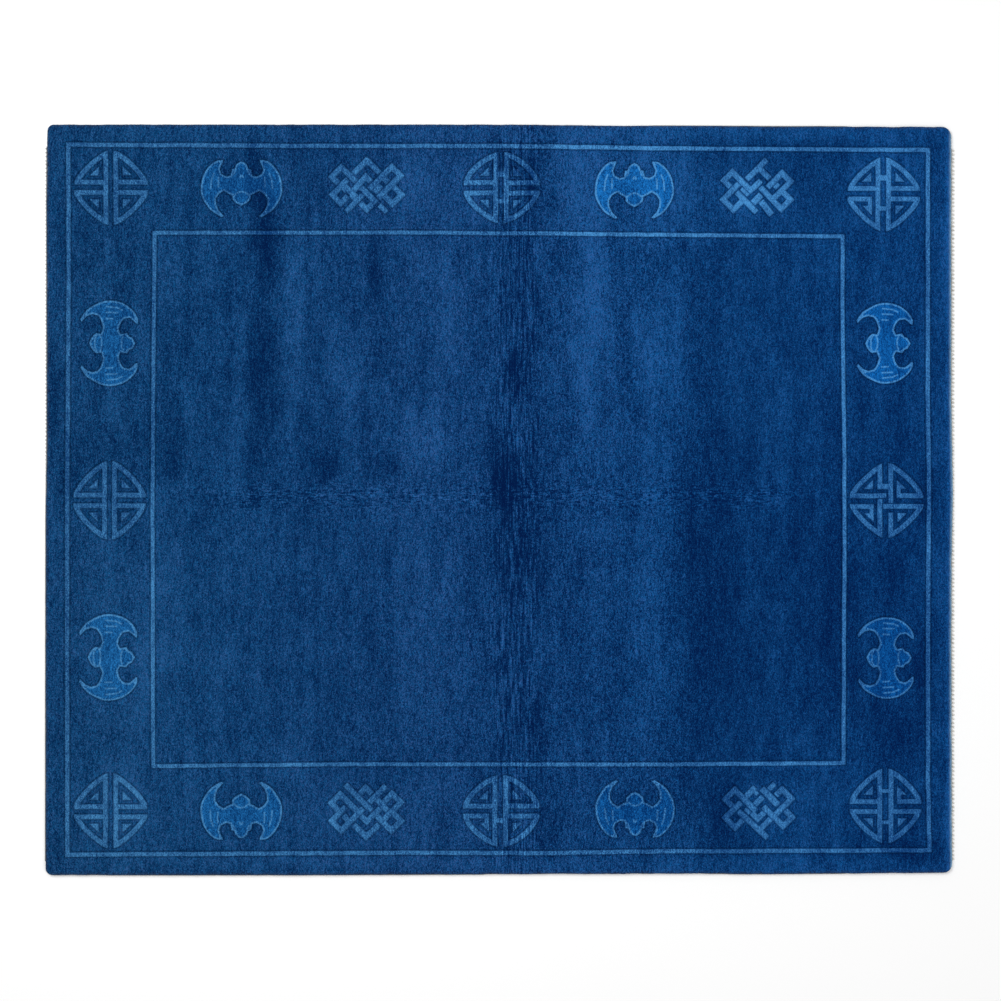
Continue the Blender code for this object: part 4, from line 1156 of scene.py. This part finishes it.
def knotted_end(name, side_table, span, outward, material):
    """Warp ends gathered four by four into knots, and the last wefts woven beside the pile."""
    dice = np.random.default_rng(41)
    pieces = Pieces()
    start, end = span
    count = round((end - start) / END_PITCH)
    for number in range(count):
        y = start + (number + 0.5) * (end - start) / count
        drift = dice.uniform(-KNOT_DRIFT, KNOT_DRIFT)
        x = outward * (HALF_LENGTH - KNOT_INSETS[outward])
        knot = Vector((x, y + drift, KNOT_HEIGHTS[outward]))
        add_warps(pieces, across(side_table, y), y, outward, knot)
        add_knot(pieces, dice, outward, knot)
    add_wefts(pieces, side_table, span, outward)
    return pieces.to_object(name, material)


# ---- Materials -----------------------------------------------------------------------------------


class Nodes:
    """Short calls for the nodes of one material."""

    def __init__(self, name):
        self.material = bpy.data.materials.new(name)
        self.material.use_nodes = True
        self.tree = self.material.node_tree
        self.shader = self.tree.nodes["Principled BSDF"]
        self.place = self.add("ShaderNodeTexCoord").outputs["Object"]

    def put(self, value, socket):
        if isinstance(value, bpy.types.NodeSocket):
            self.tree.links.new(value, socket)
        else:
            socket.default_value = value

    def add(self, kind, values=None, **settings):
        """A new node. values are given by the names or numbers of its inputs."""
        node = self.tree.nodes.new(kind)
        for setting, value in settings.items():
            setattr(node, setting, value)
        for key, value in (values or {}).items():
            self.put(value, node.inputs[key])
        return node

    def shade(self, **values):
        """Sets or feeds the shader's own inputs."""
        for name, value in values.items():
            self.put(value, self.shader.inputs[name.replace("_", " ")])

    def math(self, operation, first, second=0.0, clamp=False):
        node = self.add("ShaderNodeMath", {0: first, 1: second}, operation=operation, use_clamp=clamp)
        return node.outputs[0]

    def plus(self, first, second):
        return self.math("ADD", first, second)

    def less(self, first, second):
        return self.math("SUBTRACT", first, second)

    def times(self, first, second):
        return self.math("MULTIPLY", first, second)

    def gap(self, first, second):
        """How far apart two values are."""
        return self.math("ABSOLUTE", self.less(first, second))

    def total(self, parts):
        """The sum of parts, each given as (value, what is taken off it, gain)."""
        total = 0.0
        for value, middle, gain in parts:
            total = self.plus(total, self.times(self.less(value, middle), gain))
        return total

    def field(self, name):
        return self.add("ShaderNodeAttribute", attribute_name=name).outputs["Fac"]

    def along(self, axis):
        """The place along one axis, in metres."""
        return self.add("ShaderNodeSeparateXYZ", {0: self.place}).outputs[axis]

    def ramp(self, value, low, high, at_low=0.0, at_high=1.0):
        """value mapped from low..high to at_low..at_high, and held at the ends."""
        values = dict(enumerate((value, low, high, at_low, at_high)))
        return self.add("ShaderNodeMapRange", values).outputs[0]

    def tinted(self, colour, tint):
        return self.add("ShaderNodeVectorMath", {0: colour, 1: tint}, operation="MULTIPLY").outputs[0]

    def scaled(self, colour, amount):
        return self.add("ShaderNodeVectorMath", {0: colour, "Scale": amount}, operation="SCALE").outputs[0]

    def mix(self, share, first, second):
        return self.add("ShaderNodeMix", {0: share, 6: first, 7: second}, data_type="RGBA").outputs[2]

    def texture(self, kind, size, values, **settings):
        """A texture with features of that size in millimetres along X, Y and Z."""
        repeats = [1 / (METRES * length) for length in size]
        place = self.add("ShaderNodeVectorMath", {0: self.place, 1: repeats}, operation="MULTIPLY").outputs[0]
        return self.add(kind, {"Vector": place, "Scale": 1.0, **values}, **settings)

    def noise(self, size, detail=2.0, roughness=0.5, distortion=0.0):
        values = {"Detail": detail, "Roughness": roughness, "Distortion": distortion}
        return self.texture("ShaderNodeTexNoise", size, values).outputs["Fac"]

    def knots(self, size, randomness):
        """One cell for each knot: how far from its middle, and two dice for it."""
        values = {"Randomness": randomness}
        cells = self.texture("ShaderNodeTexVoronoi", size, values, voronoi_dimensions="2D")
        dice = self.add("ShaderNodeSeparateColor", {0: cells.outputs["Color"]})
        return cells.outputs["Distance"], dice.outputs[0], dice.outputs[1]

    def bump(self, height, depth, strength):
        values = {"Height": height, "Distance": depth * METRES, "Strength": strength}
        self.shade(Normal=self.add("ShaderNodeBump", values).outputs[0])


# Yarn colours, linear, where the nap looks darkest and where it looks lightest.
NAVY = ((0.0001, 0.0079, 0.0470, 1.0), (0.0110, 0.0930, 0.2570, 1.0))
MIDDLE_BLUE = ((0.0004, 0.0220, 0.1000, 1.0), (0.0150, 0.1580, 0.4400, 1.0))
LIGHT_BLUE = ((0.0018, 0.0294, 0.1199, 1.0), (0.0800, 0.2640, 0.5230, 1.0))
# Painted light falloff: how each yarn's colour drifts from a greyer left end to a bluer right end, and
# the X of the two in metres.
GROUND_FALLOFF_TINTS = ((0.90, 1.00, 0.98, 1.0), (0.55, 1.04, 1.27, 1.0))
MIDDLE_FALLOFF_TINTS = ((1.05, 1.00, 0.97, 1.0), (0.45, 1.03, 1.25, 1.0))
YARN_FALLOFF_TINTS = ((0.72, 0.88, 0.92, 1.0), (0.80, 1.08, 1.24, 1.0))
DRIFT_ENDS = (-1.3, 1.3)
TIP_HIGHLIGHT = (0.34, 0.60, 0.82, 1.0)  # painted highlight on the bare yarn ends at the right end, seen edge on in the light
EDGE_GREY = (0.045, 0.052, 0.045, 1.0)  # a darker, duller grey mixed into the wool along the edges
EDGE_GREY_SHARE = 0.35  # of it at the very edge

# Sizes of the textures' features along X, Y and Z, in millimetres.
KNOT_SIZE = (2.2, 4.0, 3.4)
GRAIN_SIZE = (1.0, 3.7, 3.0)
STREAK_SIZE = (5.5, 26.0, 9.0)
PATCH_SIZE = (60.0, 90.0, 60.0)
RIPPLE_SIZE = (5.5, 80.0, 7.0)
CREASE_SIZE = (20.0, 5.2, 7.0)
KNOT_SCATTER = 0.85  # how unevenly the knots stand, 0 being a grid

STRAY = 1.8  # the width of the strip in which the knots of an edge stray, in millimetres
BAT_STRAY = 0.6  # what share of that a bat's stray in
BAT_OUTLINE = 5.8  # how wide a bat's lighter outline is, in millimetres
SOFTNESS = 0.4  # and half the width of the step from one colour to another
LIGHT_SOFTNESS = 0.6
STROKE_EDGE = (STROKE_HALF + 0.5, STROKE_HALF - 0.4)

# How much each of these adds to the tone, in steps of it.
SHADE_GAIN = 1.5  # for a shade of strength 1
DIE_GAIN = 4.1
GRAIN_GAIN = 12.3
STREAK_GAIN = 3.2
PATCH_GAIN = 1.0
OUTLINE_GAIN = 1.35
RIPPLE_SHADE_GAIN = 8.5
CREASE_SHADE_GAIN = 9.0
END_LIGHT_GAIN = 2.4  # painted light at the right end, where the nap is open to the light
TONE_RANGE = (-3.0, 3.6)  # steps of tone from the darkest to the lightest
TONE_BEND = 1.5

# Ramps, as (from, to), which go from 0 to 1, or as (from, to, amount at the first, amount at the second).
# Over places and distances in metres:
RIPPLE_PLACE = 0.050  # X of the painted shade of the ripples along the fold across the rug
RIPPLE_RAMP = (0.11, 0.04)
CREASE_PLACE = 0.012  # Y of the painted shade of the fine creases along the other fold
CREASE_RAMP = (0.06, 0.01)
CREASE_ENDS = (1.1, 0.8)
SPECKLE_RISE = (-0.5, 0.25, 0.92, 1.15)  # the speckle shows more towards the middle
SPECKLE_FALL = (0.5, 0.75, 1.0, 0.71)  # and less at the right end
REDDER_PLACE = -0.2  # X round which the wool looks a little redder
REDDER_RAMP = (0.75, 0.1, 1.0, 1.3)
# Over distances in millimetres, from the light yarn's edge, the nearest side or the right side:
GROOVE_SHADE_IN = (-1.4, 1.2, 1.0, 0.78)  # painted shade: the groove is darker than the ground
GROOVE_SHADE_OUT = (2.6, 7.0, 0.0, 0.22)  # which is reached here
EDGE_GREY_RAMP = (13.0, 0.0)
END_RAMP = (24.0, 2.0)
TIP_HIGHLIGHT_RAMP = (11.0, -2.0)
# Over other measures:
KNOT_GAP_SHADE = (0.35, 0.75, 1.0, 0.75)  # painted shade between the knots, from a knot's middle, in shares of a knot
YARN_SPECKLE = (0.0, 1.0, 1.0, 0.9)  # from the ground to the light yarn
KNOT_REDNESS = (0.0, 1.0, 0.3, 1.7)  # from one knot to another
TONE_SHEEN_REDNESS = (0.0, 1.0, 0.4, 2.0)  # painted sheen, redder from the darkest tone to the lightest
KNOT_TIP_HIGHLIGHT = (0.0, 1.0, 0.5, 1.0)
GRAIN_ROUGHNESS = (0.3, 0.7, 0.82, 0.95)


def design_of(nodes, die):
    """Where the light yarn lies, where it is a bat's outline, and where a bat's body lies, from 0 to 1."""
    stray = nodes.times(nodes.less(die, 0.5), STRAY)
    light = nodes.ramp(nodes.plus(nodes.field("light"), stray), LIGHT_SOFTNESS, -LIGHT_SOFTNESS)
    stray = nodes.times(stray, BAT_STRAY)
    bat_gap = nodes.plus(nodes.field("bat"), stray)
    body = nodes.ramp(bat_gap, SOFTNESS - BAT_OUTLINE, -SOFTNESS - BAT_OUTLINE)
    stroke = nodes.ramp(nodes.plus(nodes.field("stroke"), stray), *STROKE_EDGE)
    is_body = nodes.times(body, nodes.less(1.0, stroke))
    outline = nodes.less(nodes.ramp(bat_gap, SOFTNESS, -SOFTNESS), is_body)
    return nodes.math("MAXIMUM", light, outline, clamp=True), outline, is_body


def wool_tone(nodes, die, grain, is_light, outline):
    """How light the wool looks, from 0 to 1, painted shade and light included."""
    x = nodes.along("X")
    y = nodes.along("Y")
    speckle = nodes.total(
        ((die, 0.5, DIE_GAIN), (grain, 0.5, GRAIN_GAIN), (nodes.noise(STREAK_SIZE, 0.0), 0.5, STREAK_GAIN))
    )
    strength = nodes.times(nodes.ramp(x, *SPECKLE_RISE), nodes.ramp(x, *SPECKLE_FALL))
    strength = nodes.times(strength, nodes.ramp(is_light, *YARN_SPECKLE))
    # Painted shade and light: dark and light lines along the two folds.
    ripple = nodes.less(nodes.noise(RIPPLE_SIZE, 0.0, distortion=0.8), 0.5)
    ripple = nodes.times(ripple, nodes.ramp(nodes.gap(x, RIPPLE_PLACE), *RIPPLE_RAMP))
    crease_shade = nodes.less(nodes.noise(CREASE_SIZE, 0.0, distortion=1.0), 0.5)
    crease_shade = nodes.times(crease_shade, nodes.ramp(nodes.math("ABSOLUTE", x), *CREASE_ENDS))
    crease_shade = nodes.times(crease_shade, nodes.ramp(nodes.gap(y, CREASE_PLACE), *CREASE_RAMP))
    tone = nodes.total(
        (
            (nodes.field("tone"), 0.0, SHADE_GAIN),
            (nodes.times(speckle, strength), 0.0, 1.0),
            (nodes.noise(PATCH_SIZE), 0.5, PATCH_GAIN),
            (outline, 0.0, OUTLINE_GAIN),
            (ripple, 0.0, RIPPLE_SHADE_GAIN),
            (crease_shade, 0.0, CREASE_SHADE_GAIN),
            (nodes.ramp(nodes.field("right"), *END_RAMP), 0.0, END_LIGHT_GAIN),
        )
    )
    return nodes.math("POWER", nodes.ramp(tone, *TONE_RANGE), TONE_BEND)


def dyed(nodes, tone, second_die, is_light, is_body):
    """The colour of the yarn, with painted light falloff and sheen, before the edges' grey."""
    x = nodes.along("X")
    along = nodes.ramp(x, *DRIFT_ENDS)
    # Redder round one place along X and from knot to knot, with a painted sheen that makes the lighter tones
    # redder.
    warmth_and_sheen = nodes.ramp(nodes.gap(x, REDDER_PLACE), *REDDER_RAMP)
    warmth_and_sheen = nodes.times(warmth_and_sheen, nodes.ramp(second_die, *KNOT_REDNESS))
    warmth_and_sheen = nodes.times(warmth_and_sheen, nodes.ramp(tone, *TONE_SHEEN_REDNESS))
    redness = nodes.add("ShaderNodeCombineXYZ", {0: warmth_and_sheen, 1: 1.0, 2: 1.0}).outputs[0]
    ground = nodes.tinted(nodes.mix(tone, *NAVY), redness)
    # Painted light falloff from the left end to the right end.
    ground = nodes.tinted(ground, nodes.mix(along, *GROUND_FALLOFF_TINTS))
    yarn = nodes.tinted(nodes.mix(tone, *LIGHT_BLUE), nodes.mix(along, *YARN_FALLOFF_TINTS))
    middle = nodes.tinted(nodes.mix(tone, *MIDDLE_BLUE), nodes.mix(along, *MIDDLE_FALLOFF_TINTS))
    return nodes.mix(is_light, nodes.mix(is_body, ground, middle), yarn)


def wool_material():
    nodes = Nodes("navy_wool_pile")
    apart, die, second_die = nodes.knots(KNOT_SIZE, KNOT_SCATTER)
    grain = nodes.noise(GRAIN_SIZE, 1.0)
    is_light, outline, is_body = design_of(nodes, die)
    tone = wool_tone(nodes, die, grain, is_light, outline)
    colour = dyed(nodes, tone, second_die, is_light, is_body)

    # Painted shade in the carved grooves beside the light edges.
    nearest = nodes.math("MINIMUM", nodes.field("light"), nodes.field("bat"))
    groove = nodes.plus(nodes.ramp(nearest, *GROOVE_SHADE_IN), nodes.ramp(nearest, *GROOVE_SHADE_OUT))
    colour = nodes.scaled(colour, groove)
    # Painted shade between the knots.
    colour = nodes.scaled(colour, nodes.ramp(apart, *KNOT_GAP_SHADE))
    # Greyer and darker along the edges.
    edge_grey = nodes.math("POWER", nodes.ramp(nodes.field("edge"), *EDGE_GREY_RAMP), 1.5)
    colour = nodes.mix(nodes.times(edge_grey, EDGE_GREY_SHARE), colour, EDGE_GREY)
    # Painted highlight on the yarn tips at the right end.
    tip_highlight = nodes.math("POWER", nodes.ramp(nodes.field("right"), *TIP_HIGHLIGHT_RAMP), 2.0)
    tip_highlight = nodes.times(tip_highlight, nodes.ramp(die, *KNOT_TIP_HIGHLIGHT))
    nodes.shade(Base_Color=nodes.mix(tip_highlight, colour, TIP_HIGHLIGHT))

    nodes.shade(Roughness=nodes.ramp(grain, *GRAIN_ROUGHNESS), Specular_IOR_Level=0.02)
    nodes.shade(Sheen_Weight=0.06, Sheen_Roughness=0.4, Sheen_Tint=(0.1, 0.5, 1.0, 1.0))
    nodes.bump(nodes.less(nodes.times(grain, 0.8), apart), depth=1.2, strength=0.5)
    return nodes.material


CREAM = ((0.40, 0.37, 0.31, 1.0), (0.80, 0.78, 0.72, 1.0))
COTTON_GREY_TINT = (0.42, 0.45, 0.50)  # a darker, bluer tint of the cotton everywhere but at the right end
COTTON_TINT_FADE = (1.42, 1.46)  # X where that tint gives way, in metres
FIBRE_SIZE = (0.8, 0.8, 0.8)
STAIN_SIZE = (18.0, 30.0, 18.0)
COTTON_RAMP = (0.45, 0.95)
COTTON_ROUGHNESS = (0.3, 0.7, 0.8, 0.95)


def cotton_material():
    nodes = Nodes("warp_cotton")
    fibres = nodes.noise(FIBRE_SIZE, 3.0, 0.6)
    share = nodes.plus(nodes.times(fibres, 0.6), nodes.times(nodes.noise(STAIN_SIZE), 0.8))
    colour = nodes.mix(nodes.ramp(share, *COTTON_RAMP), *CREAM)
    # Darker and bluer everywhere but at the right end.
    colour = nodes.mix(nodes.ramp(nodes.along("X"), *COTTON_TINT_FADE), nodes.tinted(colour, COTTON_GREY_TINT), colour)
    nodes.shade(Base_Color=colour, Roughness=nodes.ramp(fibres, *COTTON_ROUGHNESS))
    nodes.shade(Sheen_Weight=0.15, Sheen_Roughness=0.5, Specular_IOR_Level=0.15)
    nodes.bump(fibres, depth=0.4, strength=0.6)
    return nodes.material


BACK_KNOT_SIZE = (3.4, 2.0, 3.4)
BACK_SCATTER = 0.3
BACK_OUTLINE = 3.6  # how wide a bat's outline shows on the back
WEFT_GAP = (0.42, 0.55)  # from a knot's middle to where the weft between the knots shows
WEFT_DICE = (0.3, 0.6)


def back_material():
    """The backs of the knots, in rows along the wefts, with specks of cotton weft between them."""
    nodes = Nodes("knot_backs")
    apart, die, _ = nodes.knots(BACK_KNOT_SIZE, BACK_SCATTER)
    stray = nodes.times(nodes.less(die, 0.5), STRAY)
    light = nodes.ramp(nodes.plus(nodes.field("light"), stray), SOFTNESS, -SOFTNESS)
    bat_gap = nodes.plus(nodes.field("bat"), stray)
    body = nodes.ramp(bat_gap, -BACK_OUTLINE, -BACK_OUTLINE - 0.6)
    outline = nodes.less(nodes.ramp(bat_gap, SOFTNESS, -SOFTNESS), body)
    is_light = nodes.math("MAXIMUM", light, outline, clamp=True)
    ground = nodes.mix(body, nodes.mix(die, *NAVY), nodes.mix(die, *MIDDLE_BLUE))
    colour = nodes.mix(is_light, ground, nodes.mix(die, *LIGHT_BLUE))
    weft = nodes.times(nodes.ramp(apart, *WEFT_GAP), nodes.ramp(die, *WEFT_DICE))
    nodes.shade(Base_Color=nodes.mix(weft, colour, CREAM[0]), Roughness=0.9, Specular_IOR_Level=0.15)
    nodes.bump(nodes.less(1.0, apart), depth=0.8, strength=0.6)
    return nodes.material


# ---- Stage ---------------------------------------------------------------------------------------

# In metres, apart from the lens, which is in millimetres.
CAMERA_HEIGHT = 7.68  # above the clipped pile
CAMERA_PLACE = (0.0015, -0.0021)
CAMERA_LENS = 85.0
FLOOR_SIZE = 60.0
FLOOR_DROP = 0.0005  # keeps the floor's face apart from the rug's back


def add_stage():
    nodes = Nodes("pale_floor")
    nodes.shade(Base_Color=(0.9, 0.9, 0.9, 1.0), Roughness=0.9, Specular_IOR_Level=0.1)
    bpy.ops.mesh.primitive_plane_add(size=FLOOR_SIZE, location=(0, 0, -FLOOR_DROP))
    floor = bpy.context.object
    floor.name = "floor"
    floor.data.materials.append(nodes.material)


def add_light():
    scene = bpy.context.scene
    scene.world = bpy.data.worlds.new("studio")
    scene.world.use_nodes = True
    background = scene.world.node_tree.nodes["Background"]
    background.inputs["Color"].default_value = (1.0, 1.0, 1.0, 1.0)
    background.inputs["Strength"].default_value = 0.55
    for name, place, size, power in (
        ("key_softbox", (-2.6, 2.2, 5.2), 3.6, 255.0),
        ("fill_softbox", (3.0, -1.6, 5.6), 4.5, 95.0),
    ):
        lamp = bpy.data.lights.new(name, "AREA")
        lamp.shape = "DISK"
        lamp.size = size
        lamp.energy = power
        holder = bpy.data.objects.new(name, lamp)
        holder.location = place
        holder.rotation_euler = (-Vector(place)).to_track_quat("-Z", "Y").to_euler()
        scene.collection.objects.link(holder)
    scene.view_settings.view_transform = "Standard"


def add_camera():
    camera = bpy.data.cameras.new("camera")
    camera.lens = CAMERA_LENS
    holder = bpy.data.objects.new("camera", camera)
    holder.location = (*CAMERA_PLACE, PILE_TOP * METRES + CAMERA_HEIGHT)
    bpy.context.scene.collection.objects.link(holder)
    bpy.context.scene.camera = holder


# ---- The rug -------------------------------------------------------------------------------------

add_stage()
add_light()
add_camera()

cotton = cotton_material()
ground_sheet = foundation(back_material(), cotton)
tiles = pile_tiles(wool_material())
right_end = knotted_end("warp_knots_right", PILE_EDGE.right, RIGHT_END_SPAN, 1, cotton)
left_end = knotted_end("warp_knots_left", PILE_EDGE.left, LEFT_END_SPAN, -1, cotton)

for piece in (*tiles, ground_sheet):
    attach(piece, "root")
    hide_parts("carpet")
for piece, node in ((right_end, "knotted_end_right"), (left_end, "knotted_end_left")):
    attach(piece, "root")
    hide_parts(node)
